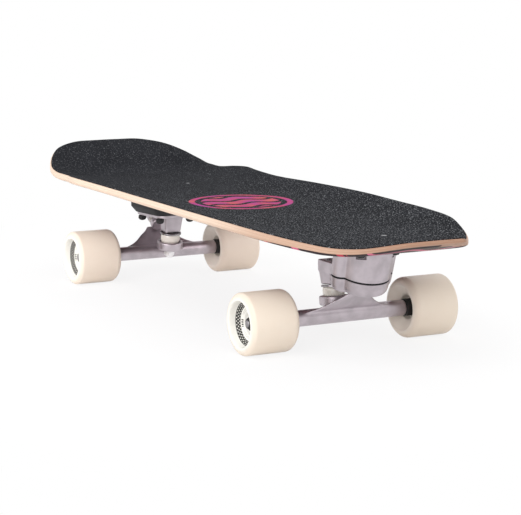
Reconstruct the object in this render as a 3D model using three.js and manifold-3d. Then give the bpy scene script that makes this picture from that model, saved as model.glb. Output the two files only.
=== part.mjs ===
// A surf skateboard in millimetres: a kicked and concave deck on two trucks, the front one hung
// on a sprung swinging arm. +X points to the nose, +Y to the left side and +Z up. The origin is
// on the ground under the middle of the deck.

import * as THREE from "three";
import { mergeVertices } from "three/addons/utils/BufferGeometryUtils.js";
import Module from "manifold-3d";

// Fits shared by the whole board
const clearance = 0.3;
const overrun = 2;
const weldDistance = 0.001;

// Deck
const deckLength = 809.4;
const deckWidth = 250;
const plyThickness = 8.6;
const edgeChamfer = 1.6;
const endBevel = 3;
const flatWidth = 90;
const concaveRise = 13;
const kickRun = 102;
const kickRadius = 120;
const kickAngle = THREE.MathUtils.degToRad(25.5);
const noseRun = 80;
const noseRadius = 200;
const noseAngle = THREE.MathUtils.degToRad(15);

// Half of the deck's plan from tail to nose, as shares of its half length and half width
const planShares = [
  [-1, 0.11], [-0.995, 0.39], [-0.961, 0.606], [-0.902, 0.76], [-0.828, 0.862], [-0.748, 0.873],
  [-0.674, 0.872], [-0.619, 0.94], [-0.553, 0.981], [-0.466, 0.958], [-0.321, 0.938], [-0.103, 0.976],
  [0.15, 1], [0.347, 0.984], [0.507, 0.968], [0.641, 0.916], [0.74, 0.79], [0.813, 0.672],
  [0.862, 0.578], [0.899, 0.497], [0.931, 0.426], [0.956, 0.368], [0.975, 0.32], [0.99, 0.272], [1, 0.06],
];
const deckStations = 48;
const deckStrips = 6;

// Grip sheet
const gripThickness = 1;

// Deck bolts and their lock nuts
const boltRadius = 2.4;
const boltHeadRadius = 4.8;
const boltHeadDepth = 3;
const boltHeadRim = 0.6;
const boltTipLength = 0.6;
const boltSpacingAlong = 53.5;
const boltSpacingAcross = 41.3;
const deckNutFlats = 9.5;
const deckNutHeights = { front: 4, rear: 5.5 };

// Wheels
const wheelbase = 454;
const wheelbaseShift = 3.1;
const track = 195.5;
const wheelRadius = 33;
const wheelWidth = 56;
const treadRounding = 9;
const lipRadius = 25;
const recessRadius = 23;
const recessDepth = 2.6;
const hubFaceRadius = 18.3;
const hubFaceDepth = 5;
const hubMouthRadius = 13;
const wheelCoreWidth = 24;
const coreBoreRadius = 9.4;
const wheelSides = 28;

// Bearings
const bearingOuterRadius = 11;
const bearingWidth = 7;
const bearingChamfer = 0.6;
const bearingSides = 12;

// Axles and their nuts
const axleRadius = 4;
const axleEndLength = 1;
const axleChamfer = 0.6;
const axleNutFlats = 12.7;
const axleNutHeight = 6;

// Hanger, measured from the axle's centre: inward is towards the middle of the board
const barrelRadius = 8.75;
const ringInward = 21;
const ringRise = 10;
const ringRadius = 16.3;
const ringThickness = 8.2;
const ringBoreRadius = 9.3;
const ringRimHeight = 2.5;
const ringRimGap = 1.2;
const seatRecessRadius = 11;
const seatRecessDepth = 3.5;
const pivotOutward = 27;
const pivotRise = 41;
const pivotRadius = 5;
const pivotTipLength = 2;
const stemRootRadius = 9;
const stemRootLength = 17;
const stemShoulderLength = 6.8;
const stemTaperLength = 2;
const pivotWebReach = 38;
const pivotWebHalfWidth = 60;
const pivotWebThickness = 10;
const ringWebHalfWidth = 46;
const ringWebThickness = 8;

// Half plans of the two webs, as shares of their reach and of their half width
const pivotWebShares = [
  [0, 1], [0.16, 0.83], [0.32, 0.66], [0.47, 0.53], [0.68, 0.38], [0.84, 0.2], [1, 0.12],
];
const ringWebShares = [[0, 1], [0.3, 0.72], [0.6, 0.5], [0.85, 0.38], [1, 0.35]];

// Kingpin and what it carries, along the kingpin from the middle of the hanger's ring
const kingpinTilt = THREE.MathUtils.degToRad(8);
const kingpinRadius = 4.75;
const kingpinHeadRadius = 7.4;
const kingpinHeadHeight = 6;
const kingpinGrip = 33.5;
const kingpinTipLength = 2;
const kingpinNutFlats = 12.7;
const kingpinNutHeight = 5.5;
const upperBushingRadius = 12;
const upperBushingHeight = 12;
const lowerBushingRadius = 10.4;
const lowerBushingTipRadius = 8.6;
const lowerBushingHeight = 4.6;
const bushingBulge = 0.7;
const upperWasherRadius = 13.4;
const upperWasherThickness = 1.5;
const lowerWasherRadius = 8.4;
const lowerWasherThickness = 1;

// Seats for the kingpin and pivot, the same on the rear baseplate and on the swing arm
const bossFootHalfLength = 8.3;
const bossFootHalfWidth = 9.8;
const bossTopHalfLength = 9.5;
const bossTopHalfWidth = 12.8;
const bossHeight = 24;
const bossCornerChamfer = 2.5;
const pivotBossRadius = 8.8;
const pivotBossReach = 8;
const pivotMouthReach = 4.5;
const pivotCupWall = 1.5;
const pivotCollarRadius = 8;
const pivotCollarThickness = 1.2;
const stemRelief = 2.5;

// Rear baseplate and the wedge riser above it
const plateLength = 76;
const plateWidth = 48;
const plateCorner = 12;
const plateThickness = 3.5;
const plateInward = 6;
const plateUndersideRise = 46.5;
const plateTilt = THREE.MathUtils.degToRad(2.1);
const plateBoltInward = 10;
const pedestalHalfLength = 8;
const pedestalHalfWidth = 7;
const riserMargin = 1.5;
const riserCorner = 8;
const riserFlare = 5;
const riserFlareHeight = 7.5;

// Surf adapter: the swing axis leans to the nose, and its frame starts where it meets the seam
const swingAxisOutward = 39;
const swingAxisRise = 48.6;
const swingTilt = THREE.MathUtils.degToRad(14);
const adapterHeight = 32;
const seamGap = 1;
const lobeRadius = 27;
const sideLobeRadius = 9;
const sideLobeAcross = 27;
const sideLobeBack = 4;
const housingBack = 14;
const housingFlare = 1.5;
const flangeThickness = 4;
const flangeForward = 0;
const flangeMargin = 10;
const flangeCorner = 8;
const scallopRelief = 3;
const lobeSteps = 7;
const sideLobeSteps = 5;

// Swing arm
const cupDepth = 16;
const armTopRise = 54.4;
const armBeamHalfWidth = 13;
const armBeamHeight = 12.5;
const postRadius = 8;
const postHeight = 22;

// Cup wall from rim to bottom: shares of its depth and the insets that round it
const cupDepthShares = [0, 0.62, 0.86, 1];
const cupInsets = [0, 0.6, 1.8, 4.6];

// Shaft parts inside the adapter, along the swing axis
const lowerBearingOuterRadius = 13;
const lowerBearingHeight = 5;
const upperBearingOuterRadius = 14.2;
const upperBearingHeight = 4;
const springWireRadius = 1.15;
const springCoilRadius = 11.5;
const springPitch = 2.9;
const springTurns = 3;
const springStepsPerTurn = 8;
const springSides = 5;
const springLeastGap = 0.4;
const pivotBoltRadius = 4;
const pivotBoltHeadRadius = 10.5;
const pivotBoltHeadHeight = 4.5;
const pivotBoltLength = 18;

// Side counts of round pieces
const barrelSides = 20;
const ringSides = 24;
const pinSides = 12;
const holeSides = 12;
const boltSides = 8;
const bushingSides = 16;

// Heights and places that follow from the sizes above
const axleHeight = wheelRadius * Math.cos(Math.PI / wheelSides);
const frontAxleX = wheelbaseShift + wheelbase / 2;
const rearAxleX = wheelbaseShift - wheelbase / 2;
const swingAxisX = frontAxleX + swingAxisOutward;
const seamHeight = axleHeight + swingAxisRise;
const undersideHeight = seamHeight + adapterHeight;
const topHeight = undersideHeight + plyThickness + clearance + gripThickness;
const steerAngle = Math.atan2(pivotOutward + ringInward, pivotRise - ringRise);
const hangerHalf = track / 2 - wheelCoreWidth / 2 - clearance;
const axleNutSeat = track / 2 + wheelCoreWidth / 2 + clearance;
const axleHalf = axleNutSeat + axleNutHeight + axleEndLength;
const boreRadius = axleRadius + clearance;
const kingpinBoreRadius = kingpinRadius + clearance;
const boltHoleRadius = boltRadius + clearance;
const upperWasherSeat = ringThickness / 2 + upperBushingHeight + 2 * clearance;
const bossFoot = upperWasherSeat + upperWasherThickness + clearance;
const lowerSeat = -ringThickness / 2 + seatRecessDepth - clearance;
const lowerWasherTop = lowerSeat - lowerBushingHeight - clearance;
const kingpinNutTop = lowerWasherTop - lowerWasherThickness - clearance;
const kingpinTip = kingpinNutTop - kingpinNutHeight - kingpinTipLength;
const pivotMouth = -pivotMouthReach;
const cupBoreRadius = pivotRadius + clearance;
const cupOuterRadius = cupBoreRadius + pivotCupWall;
const cupFloor = pivotTipLength + clearance;
const pocketRadius = cupOuterRadius + clearance;
const pocketFloor = cupFloor + pivotCupWall + clearance;

// Materials
function finish(color, roughness, metalness) {
  return new THREE.MeshStandardMaterial({ color, roughness, metalness });
}

const maple = finish(0xd9a67c, 0.5, 0);
const grit = finish(0x33343a, 0.95, 0);
const castMetal = finish(0xa89fa6, 0.38, 0.9);
const steel = finish(0xb8b6b8, 0.3, 1);
const darkSteel = finish(0x2c2c30, 0.45, 0.8);
const blackPlastic = finish(0x1c1c20, 0.6, 0);
const urethane = finish(0xeadccb, 0.4, 0);
const rubber = finish(0xe8e2d2, 0.5, 0);
const springSteel = finish(0x55565c, 0.4, 0.9);

const board = new THREE.Group();

function piece(parent, name, geometry, material, x = 0, y = 0, z = 0) {
  const mesh = new THREE.Mesh(geometry, material);
  mesh.name = name;
  mesh.position.set(x, y, z);
  parent.add(mesh);
  return mesh;
}

// Joining and cutting closed meshes
const wasm = await Module();
wasm.setup();

function welded(geometry) {
  const bare = new THREE.BufferGeometry();
  bare.setAttribute("position", geometry.getAttribute("position"));
  bare.setIndex(geometry.getIndex());
  const merged = mergeVertices(bare, weldDistance);
  const corners = merged.getIndex().array;
  const kept = [];
  for (let i = 0; i < corners.length; i += 3) {
    const [a, b, c] = corners.slice(i, i + 3);
    if (a !== b && b !== c && c !== a) kept.push(a, b, c);
  }
  merged.setIndex(kept);
  return merged;
}

function solidOf(geometry) {
  const merged = welded(geometry);
  const vertProperties = Float32Array.from(merged.getAttribute("position").array);
  const triVerts = Uint32Array.from(merged.getIndex().array);
  return new wasm.Manifold(new wasm.Mesh({ numProp: 3, vertProperties, triVerts }));
}

function geometryOf(solid) {
  const { vertProperties, triVerts, numProp } = solid.getMesh();
  const geometry = new THREE.BufferGeometry();
  geometry.setAttribute("position", new THREE.BufferAttribute(vertProperties, numProp));
  geometry.setIndex(new THREE.BufferAttribute(triVerts, 1));
  return geometry;
}

function joined(...geometries) {
  return geometryOf(geometries.map(solidOf).reduce((whole, part) => whole.add(part)));
}

function cut(geometry, ...tools) {
  return geometryOf(tools.map(solidOf).reduce((whole, tool) => whole.subtract(tool), solidOf(geometry)));
}

// Basic shapes, each along +Z
function turned(profile, sides) {
  const points = profile.map(([radius, height]) => new THREE.Vector2(radius, height));
  return welded(new THREE.LatheGeometry(points, sides).rotateX(Math.PI / 2));
}

function rod(radius, from, to, sides = pinSides) {
  return turned([[0, from], [radius, from], [radius, to], [0, to]], sides);
}

function tube(inner, outer, from, to, sides = bushingSides) {
  return turned([[inner, from], [outer, from], [outer, to], [inner, to], [inner, from]], sides);
}

function slab(x0, x1, y0, y1, z0, z1) {
  const box = new THREE.BoxGeometry(x1 - x0, y1 - y0, z1 - z0);
  return box.translate((x0 + x1) / 2, (y0 + y1) / 2, (z0 + z1) / 2);
}

function octagon(halfLength, halfWidth, corner) {
  return [
    [halfLength - corner, -halfWidth], [halfLength, corner - halfWidth],
    [halfLength, halfWidth - corner], [halfLength - corner, halfWidth],
    [corner - halfLength, halfWidth], [-halfLength, halfWidth - corner],
    [-halfLength, corner - halfWidth], [corner - halfLength, -halfWidth],
  ];
}

function octagonPlate(halfLength, halfWidth, corner, thickness) {
  const corners = octagon(halfLength, halfWidth, corner).map(([x, y]) => new THREE.Vector2(x, y));
  const outline = new THREE.Shape(corners);
  return new THREE.ExtrudeGeometry(outline, { depth: thickness, bevelEnabled: false });
}

function hexNut(flats, holeRadius, height, sides) {
  const corner = flats / Math.sqrt(3);
  const outline = new THREE.Shape();
  for (let i = 0; i < 6; i += 1) {
    const turn = (i * Math.PI) / 3;
    const place = [corner * Math.cos(turn), corner * Math.sin(turn)];
    if (i === 0) outline.moveTo(...place);
    else outline.lineTo(...place);
  }
  const hole = new THREE.Path();
  hole.absarc(0, 0, holeRadius, 0, 2 * Math.PI, true);
  outline.holes.push(hole);
  return new THREE.ExtrudeGeometry(outline, { depth: height, bevelEnabled: false, curveSegments: sides });
}

// A skin over rings that run counter-clockwise about the way they follow each other, each of its
// quads split along the shorter diagonal
function loft(rings) {
  const count = rings[0].length;
  const points = rings.flat();
  const last = (rings.length - 1) * count;
  const ends = [rings[0], rings[rings.length - 1]].map((ring) => {
    return ring.reduce((sum, point) => sum.add(point), new THREE.Vector3()).divideScalar(count);
  });
  const startCentre = rings.length * count;
  const index = [];
  for (let k = 0; k < count; k += 1) {
    const next = (k + 1) % count;
    for (let base = 0; base < last; base += count) {
      const [a, b, c, d] = [base + k, base + next, base + next + count, base + k + count];
      const risingIsShorter = points[a].distanceTo(points[c]) < points[b].distanceTo(points[d]);
      if (risingIsShorter) index.push(a, b, c, a, c, d);
      else index.push(a, b, d, b, c, d);
    }
    index.push(startCentre, next, k, startCentre + 1, last + k, last + next);
  }
  const geometry = new THREE.BufferGeometry().setFromPoints([...points, ...ends]);
  return geometry.setIndex(index);
}

function placed(geometry, frame) {
  return geometry.clone().applyMatrix4(frame);
}

// A frame in the board's middle plane, its Z leaning towards +X by an angle
function leaningFrame(x, z, lean) {
  return new THREE.Matrix4().makeRotationY(lean).setPosition(x, 0, z);
}

// Frames of one truck, with its axle at the origin and its pivot towards +X
const kingpinFrame = leaningFrame(-ringInward, ringRise, -kingpinTilt);
const pivotFrame = leaningFrame(pivotOutward, pivotRise, steerAngle);
const axleFrame = new THREE.Matrix4().makeRotationX(Math.PI / 2);
const plateFrame = leaningFrame(-plateInward, plateUndersideRise, plateTilt);

// Frames of the adapter: level is parallel to the ground, truck is the front axle's
const levelFrame = new THREE.Matrix4().makeRotationY(-swingTilt);
const truckFrame = levelFrame.clone().multiply(
  new THREE.Matrix4().makeTranslation(-swingAxisOutward, 0, -swingAxisRise),
);

// Deck surface
function bendRise(run, radius, angle) {
  const arcRun = radius * Math.sin(angle);
  const curved = Math.min(Math.max(run, 0), arcRun);
  return radius - Math.sqrt(radius ** 2 - curved ** 2) + Math.max(run - arcRun, 0) * Math.tan(angle);
}

function bendSlope(run, radius, angle) {
  return Math.asin(Math.min(Math.max(run / radius, 0), Math.sin(angle)));
}

function underside(x, y) {
  const kick = bendRise(kickRun - deckLength / 2 - x, kickRadius, kickAngle);
  const nose = bendRise(x + noseRun - deckLength / 2, noseRadius, noseAngle);
  const outside = Math.max(Math.abs(y) - flatWidth / 2, 0) / (deckWidth / 2 - flatWidth / 2);
  return undersideHeight + kick + nose + concaveRise * outside ** 2;
}

function slopeAt(x) {
  const kick = bendSlope(kickRun - deckLength / 2 - x, kickRadius, kickAngle);
  return kick + bendSlope(x + noseRun - deckLength / 2, noseRadius, noseAngle);
}

function planPoints() {
  const knots = planShares.map(([along, across]) => {
    return new THREE.Vector3((along * deckLength) / 2, (across * deckWidth) / 2, 0);
  });
  return new THREE.CatmullRomCurve3(knots, false, "centripetal").getSpacedPoints(deckStations);
}

function layerRing(x, halfWidth, low, high, chamfer) {
  const rise = 1 / Math.cos(slopeAt(x));
  const row = [];
  for (let k = 0; k <= deckStrips; k += 1) {
    row.push((halfWidth - edgeChamfer) * ((2 * k) / deckStrips - 1));
  }
  const at = (y, height) => new THREE.Vector3(x, y, underside(x, y) + height * rise);
  const lower = row.map((y) => at(y, low));
  const upper = row.toReversed().map((y) => at(y, high));
  if (chamfer === 0) return [...lower, ...upper];
  const left = [at(-halfWidth, high - chamfer), at(-halfWidth, low + chamfer)];
  return [...lower, at(halfWidth, low + chamfer), at(halfWidth, high - chamfer), ...upper, ...left];
}

function layer(points, low, high, chamfer) {
  return loft(points.map((point) => layerRing(point.x, point.y, low, high, chamfer)));
}

// The board itself: its underside is bevelled off at the two tips
function plyBody(points) {
  const tips = [points[0], points[points.length - 1]];
  return loft(points.map((point) => {
    const low = tips.includes(point) ? endBevel : 0;
    return layerRing(point.x, point.y, low, plyThickness, edgeChamfer);
  }));
}

// Places of the eight deck bolts: where each stands and what its nut bears against
function boltPlaces() {
  const places = [];
  for (const truck of ["front", "rear"]) {
    const centre = truck === "front" ? swingAxisX + flangeForward : rearAxleX + plateBoltInward;
    const nutHeight = deckNutHeights[truck];
    for (const along of [1, -1]) {
      for (const across of [1, -1]) {
        const end = along > 0 ? "nose" : "tail";
        const side = across > 0 ? "left" : "right";
        const x = centre + (along * boltSpacingAlong) / 2;
        const bearing = truck === "front" ? flangeUnderside() : plateUndersideAt(x);
        const y = (across * boltSpacingAcross) / 2;
        places.push({ name: `${truck}_${end}_${side}`, x, y, bearing, nutHeight });
      }
    }
  }
  return places;
}

function flangeUnderside() {
  return undersideHeight - clearance - flangeThickness;
}

function plateUndersideAt(x) {
  const outward = rearAxleX - x + plateInward;
  return axleHeight + plateUndersideRise - outward * Math.tan(plateTilt);
}

// A countersunk bolt from its tip to the top of its head, wider by a gap and reaching above the grip
function boltProfile(tip, gap, above) {
  const shank = boltRadius + gap;
  const head = boltHeadRadius + gap;
  const cone = topHeight - boltHeadDepth;
  const rim = topHeight - boltHeadRim;
  const top = topHeight + above;
  return [[0, tip], [shank, tip], [shank, cone], [head, rim], [head, top], [0, top]];
}

function boltTools(places) {
  const tool = boltProfile(undersideHeight - overrun, clearance, overrun);
  return places.map(({ x, y }) => turned(tool, boltSides).translate(x, y, 0));
}

function addDeck(places) {
  const tools = boltTools(places);
  const gripLow = plyThickness + clearance;
  const points = planPoints();
  const inside = points.filter((point) => Math.abs(point.x) < deckLength / 2 - edgeChamfer);
  const grip = layer(inside, gripLow, gripLow + gripThickness, 0);
  piece(board, "deck", cut(plyBody(points), ...tools), maple);
  piece(board, "grip_tape", cut(grip, ...tools), grit);
}

function addBolts(places) {
  for (const { name, x, y, bearing, nutHeight } of places) {
    const nut = hexNut(deckNutFlats, boltHoleRadius, nutHeight, boltSides);
    const seat = bearing - clearance - (deckNutFlats / 2) * Math.tan(plateTilt) - nutHeight;
    const tip = seat - boltTipLength;
    const bolt = turned(boltProfile(tip, 0, 0), boltSides);
    piece(board, `${name}_bolt`, bolt, darkSteel, x, y);
    piece(board, `${name}_bolt_nut`, nut, darkSteel, x, y, seat);
  }
}

// Seats that hold a truck: solid bosses, and the tools that bore them
function kingpinBoss() {
  const ring = (halfLength, halfWidth, height) => {
    const corners = octagon(halfLength, halfWidth, bossCornerChamfer);
    return corners.map(([x, y]) => new THREE.Vector3(x, y, height));
  };
  const foot = ring(bossFootHalfLength, bossFootHalfWidth, bossFoot);
  const top = ring(bossTopHalfLength, bossTopHalfWidth, bossFoot + bossHeight);
  return placed(loft([foot, top]), kingpinFrame);
}

function pivotBoss() {
  return placed(rod(pivotBossRadius, pivotMouth, pivotBossReach, barrelSides), pivotFrame);
}

function seatTools() {
  const head = kingpinHeadRadius + clearance;
  const headFloor = kingpinGrip - clearance;
  const bore = rod(kingpinBoreRadius, bossFoot - overrun, headFloor + overrun, holeSides);
  const recess = rod(head, headFloor, kingpinGrip + kingpinHeadHeight + kingpinHeadRadius, ringSides);
  const pocket = rod(pocketRadius, pivotMouth - overrun, pocketFloor, bushingSides);
  const relief = rod(stemRootRadius + stemRelief, -stemRootLength, pivotMouth, ringSides);
  const kingpinTools = [bore, recess].map((tool) => placed(tool, kingpinFrame));
  return [...kingpinTools, placed(pocket, pivotFrame), placed(relief, pivotFrame)];
}

// Kingpin, bushings, washers and pivot cup, all held by the seat above the hanger
function addSeatParts(truck, prefix) {
  const stack = new THREE.Group();
  stack.applyMatrix4(kingpinFrame);
  truck.add(stack);
  const kingpin = turned([
    [0, kingpinTip], [kingpinRadius - axleChamfer, kingpinTip], [kingpinRadius, kingpinTip + axleChamfer],
    [kingpinRadius, kingpinGrip], [kingpinHeadRadius, kingpinGrip],
    [kingpinHeadRadius, kingpinGrip + kingpinHeadHeight], [0, kingpinGrip + kingpinHeadHeight],
  ], pinSides);
  piece(stack, `${prefix}_kingpin`, kingpin, steel);
  const upperWasher = tube(kingpinBoreRadius, upperWasherRadius, 0, upperWasherThickness);
  piece(stack, `${prefix}_upper_washer`, upperWasher, darkSteel, 0, 0, upperWasherSeat);
  piece(stack, `${prefix}_upper_bushing`, upperBushing(), rubber, 0, 0, ringThickness / 2 + clearance);
  piece(stack, `${prefix}_lower_bushing`, lowerBushing(), rubber, 0, 0, lowerSeat - lowerBushingHeight);
  const lowerWasher = tube(kingpinBoreRadius, lowerWasherRadius, 0, lowerWasherThickness);
  piece(stack, `${prefix}_lower_washer`, lowerWasher, steel, 0, 0, lowerWasherTop - lowerWasherThickness);
  const nut = hexNut(kingpinNutFlats, kingpinBoreRadius, kingpinNutHeight, holeSides);
  piece(stack, `${prefix}_kingpin_nut`, nut, steel, 0, 0, kingpinNutTop - kingpinNutHeight);
  const cup = piece(truck, `${prefix}_pivot_cup`, pivotCup(), rubber);
  cup.applyMatrix4(pivotFrame);
}

function upperBushing() {
  const height = upperBushingHeight;
  const waist = upperBushingRadius - bushingBulge;
  return turned([
    [kingpinBoreRadius, 0], [waist, 0], [upperBushingRadius, height / 3],
    [upperBushingRadius, (2 * height) / 3], [waist, height], [kingpinBoreRadius, height],
    [kingpinBoreRadius, 0],
  ], bushingSides);
}

function lowerBushing() {
  return turned([
    [kingpinBoreRadius, 0], [lowerBushingTipRadius, 0], [lowerBushingRadius, lowerBushingHeight / 2],
    [lowerBushingRadius, lowerBushingHeight], [kingpinBoreRadius, lowerBushingHeight],
    [kingpinBoreRadius, 0],
  ], bushingSides);
}

function pivotCup() {
  const collar = pivotMouth - clearance;
  const mouth = collar - pivotCollarThickness;
  return turned([
    [0, cupFloor], [cupBoreRadius, cupFloor], [cupBoreRadius, mouth], [pivotCollarRadius, mouth],
    [pivotCollarRadius, collar], [cupOuterRadius, collar], [cupOuterRadius, cupFloor + pivotCupWall],
    [0, cupFloor + pivotCupWall],
  ], bushingSides);
}

// A flat web from the axle along a direction in the middle plane, with its plan as shares
function web(shares, reach, halfWidth, thickness, alongX, alongZ) {
  const half = shares.map(([along, across]) => new THREE.Vector2(across * halfWidth, along * reach));
  const mirrored = half.toReversed().map((point) => new THREE.Vector2(-point.x, point.y));
  const outline = new THREE.Shape([...half, ...mirrored]);
  const plate = new THREE.ExtrudeGeometry(outline, { depth: thickness, bevelEnabled: false });
  const along = new THREE.Vector3(alongX, 0, alongZ).normalize();
  const across = new THREE.Vector3(0, 1, 0);
  const frame = new THREE.Matrix4().makeBasis(across, along, across.clone().cross(along));
  return plate.translate(0, 0, -thickness / 2).applyMatrix4(frame);
}

function hangerGeometry() {
  const barrel = placed(rod(barrelRadius, -hangerHalf, hangerHalf, barrelSides), axleFrame);
  const rim = ringThickness / 2 + ringRimHeight;
  const ring = placed(rod(ringRadius, -ringThickness / 2, rim, ringSides), kingpinFrame);
  const taperStart = -stemShoulderLength - stemTaperLength;
  const stem = placed(turned([
    [0, -stemRootLength], [stemRootRadius, -stemRootLength], [stemRootRadius, taperStart],
    [pivotRadius, -stemShoulderLength], [pivotRadius, 0], [pivotRadius / 2, pivotTipLength],
    [0, pivotTipLength],
  ], bushingSides), pivotFrame);
  const ringReach = Math.hypot(ringInward, ringRise);
  const body = joined(
    barrel,
    ring,
    stem,
    web(pivotWebShares, pivotWebReach, pivotWebHalfWidth, pivotWebThickness, pivotOutward, pivotRise),
    web(ringWebShares, ringReach, ringWebHalfWidth, ringWebThickness, -ringInward, ringRise),
  );
  const reach = ringThickness / 2 + ringWebThickness;
  const seatFloor = seatRecessDepth - ringThickness / 2;
  return cut(
    body,
    placed(rod(boreRadius, -hangerHalf - overrun, hangerHalf + overrun, holeSides), axleFrame),
    placed(rod(ringBoreRadius, -reach, upperBushingRadius, bushingSides), kingpinFrame),
    placed(rod(seatRecessRadius, -reach - overrun, seatFloor, ringSides), kingpinFrame),
    placed(rod(upperBushingRadius + ringRimGap, ringThickness / 2, bossFoot, ringSides), kingpinFrame),
    placed(rod(ringRadius, rim, bossFoot, ringSides), kingpinFrame),
  );
}

// Axle, hanger and axle nuts of one truck
function addHanger(truck, prefix) {
  const axle = turned([
    [0, -axleHalf], [axleRadius - axleChamfer, -axleHalf], [axleRadius, axleChamfer - axleHalf],
    [axleRadius, axleHalf - axleChamfer], [axleRadius - axleChamfer, axleHalf], [0, axleHalf],
  ], pinSides);
  piece(truck, `${prefix}_hanger`, hangerGeometry(), castMetal);
  piece(truck, `${prefix}_axle`, placed(axle, axleFrame), steel);
  const nut = hexNut(axleNutFlats, boreRadius, axleNutHeight, holeSides).rotateX(-Math.PI / 2);
  piece(truck, `${prefix}_left_axle_nut`, nut, steel, 0, axleNutSeat);
  piece(truck, `${prefix}_right_axle_nut`, nut, steel, 0, -axleNutSeat - axleNutHeight);
}

// One wheel about +Z, with +Z to the outside of the board
function wheelGeometry() {
  const half = wheelWidth / 2;
  const core = wheelCoreWidth / 2;
  const seat = bearingOuterRadius + clearance;
  const stop = core - bearingWidth - clearance;
  const rounded = [0, 0.5, 1].map((share) => {
    const turn = (share * Math.PI) / 2;
    const radius = lipRadius + (wheelRadius - lipRadius) * Math.cos(turn);
    return [radius, half - treadRounding * (1 - Math.sin(turn))];
  });
  const recess = [recessRadius, half - recessDepth];
  const hub = [
    [hubFaceRadius, half - hubFaceDepth], [hubMouthRadius, core + hubFaceDepth], [seat, core],
    [seat, stop], [coreBoreRadius, stop],
  ];
  const inner = [...rounded, ...hub].map(([radius, place]) => [radius, -place]);
  const profile = [...inner.toReversed(), ...rounded, recess, ...hub];
  return turned([...profile, profile[0]], wheelSides).rotateZ(Math.PI / wheelSides);
}

// One sealed bearing about +Z
function bearingGeometry() {
  const half = bearingWidth / 2;
  const rim = bearingOuterRadius - bearingChamfer;
  return turned([
    [boreRadius, -half], [rim, -half], [bearingOuterRadius, bearingChamfer - half],
    [bearingOuterRadius, half - bearingChamfer], [rim, half], [boreRadius, half], [boreRadius, -half],
  ], bearingSides);
}

function addWheels(truck, prefix) {
  const wheel = wheelGeometry();
  const bearing = bearingGeometry();
  const inboard = wheelCoreWidth / 2 - bearingWidth / 2;
  for (const [side, way] of [["left", 1], ["right", -1]]) {
    const hub = new THREE.Group();
    hub.position.y = (way * track) / 2;
    hub.rotation.x = -way * Math.PI / 2;
    truck.add(hub);
    piece(hub, `${prefix}_${side}_wheel`, wheel, urethane);
    piece(hub, `${prefix}_${side}_outer_bearing`, bearing, steel, 0, 0, inboard);
    piece(hub, `${prefix}_${side}_inner_bearing`, bearing, steel, 0, 0, -inboard);
  }
}

// Rear truck: baseplate and riser in the truck's frame, turned so that its pivot faces the tail
function rearBaseplate(holes) {
  const halfLength = plateLength / 2;
  const plate = placed(octagonPlate(halfLength, plateWidth / 2, plateCorner, plateThickness), plateFrame);
  const above = slab(-plateLength, plateLength, -plateWidth, plateWidth, plateThickness, plateLength);
  const pedestal = slab(
    pivotOutward - pedestalHalfLength / 2, pivotOutward + pedestalHalfLength,
    -pedestalHalfWidth, pedestalHalfWidth, pivotRise, plateUndersideRise + overrun,
  );
  const body = joined(plate, kingpinBoss(), pivotBoss(), pedestal);
  return cut(body, placed(above, plateFrame), ...seatTools(), ...holes);
}

function riserGeometry(holes) {
  const top = undersideHeight - axleHeight - clearance;
  const ring = (flare, rise) => {
    const halfLength = plateLength / 2 + riserMargin + flare;
    const outline = octagon(halfLength, plateWidth / 2 + riserMargin + flare, riserCorner + flare / 2);
    const height = plateThickness + clearance + rise;
    return outline.map(([x, y]) => new THREE.Vector3(x, y, height).applyMatrix4(plateFrame));
  };
  const crown = ring(riserFlare, riserFlareHeight).map(({ x, y }) => new THREE.Vector3(x, y, top));
  return cut(loft([ring(0, 0), ring(riserFlare, riserFlareHeight), crown]), ...holes);
}

function addRearTruck() {
  const truck = new THREE.Group();
  truck.position.set(rearAxleX, 0, axleHeight);
  truck.rotation.z = Math.PI;
  board.add(truck);
  const holeLow = plateUndersideRise - plateThickness;
  const holes = boltHoles(-plateBoltInward, boltHoleRadius, holeLow, undersideHeight);
  piece(truck, "rear_baseplate", rearBaseplate(holes), castMetal);
  piece(truck, "rear_riser", riserGeometry(holes), blackPlastic);
  addSeatParts(truck, "rear");
  addHanger(truck, "rear");
  addWheels(truck, "rear");
}

function boltHoles(centre, radius, low, high) {
  const holes = [];
  for (const along of [1, -1]) {
    for (const across of [1, -1]) {
      const x = centre + (along * boltSpacingAlong) / 2;
      const y = (across * boltSpacingAcross) / 2;
      holes.push(rod(radius, low, high, holeSides).translate(x, y, 0));
    }
  }
  return holes;
}

// The angle between two sides of a triangle, opposite its third side
function cornerTurn(near, next, opposite) {
  return Math.acos((near ** 2 + next ** 2 - opposite ** 2) / (2 * near * next));
}

// Adapter's plan about the swing axis: a large nose lobe and two small side lobes, drawn in or out
function housingRing(inset, height) {
  const apart = Math.hypot(sideLobeBack, sideLobeAcross);
  const heading = Math.atan2(sideLobeAcross, -sideLobeBack);
  const bigTurn = cornerTurn(lobeRadius, apart, sideLobeRadius);
  const smallTurn = cornerTurn(sideLobeRadius, apart, lobeRadius);
  const half = [];
  for (let k = 0; k < lobeSteps; k += 1) {
    const turn = ((heading - bigTurn) * (k + 0.5)) / (lobeSteps - 0.5);
    half.push([lobeRadius * Math.cos(turn), lobeRadius * Math.sin(turn)]);
  }
  const start = heading + Math.PI + smallTurn;
  for (let k = 1; k <= sideLobeSteps; k += 1) {
    const turn = start + ((3 * Math.PI - start) * k) / sideLobeSteps;
    const x = sideLobeRadius * Math.cos(turn) - sideLobeBack;
    half.push([x, sideLobeRadius * Math.sin(turn) + sideLobeAcross]);
  }
  half.push([-housingBack, sideLobeAcross / 2]);
  const mirrored = half.toReversed().map(([x, y]) => [x, -y]);
  const scale = 1 - inset / lobeRadius;
  return [...half, ...mirrored].map(([x, y]) => new THREE.Vector3(x * scale, y * scale, height));
}

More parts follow.
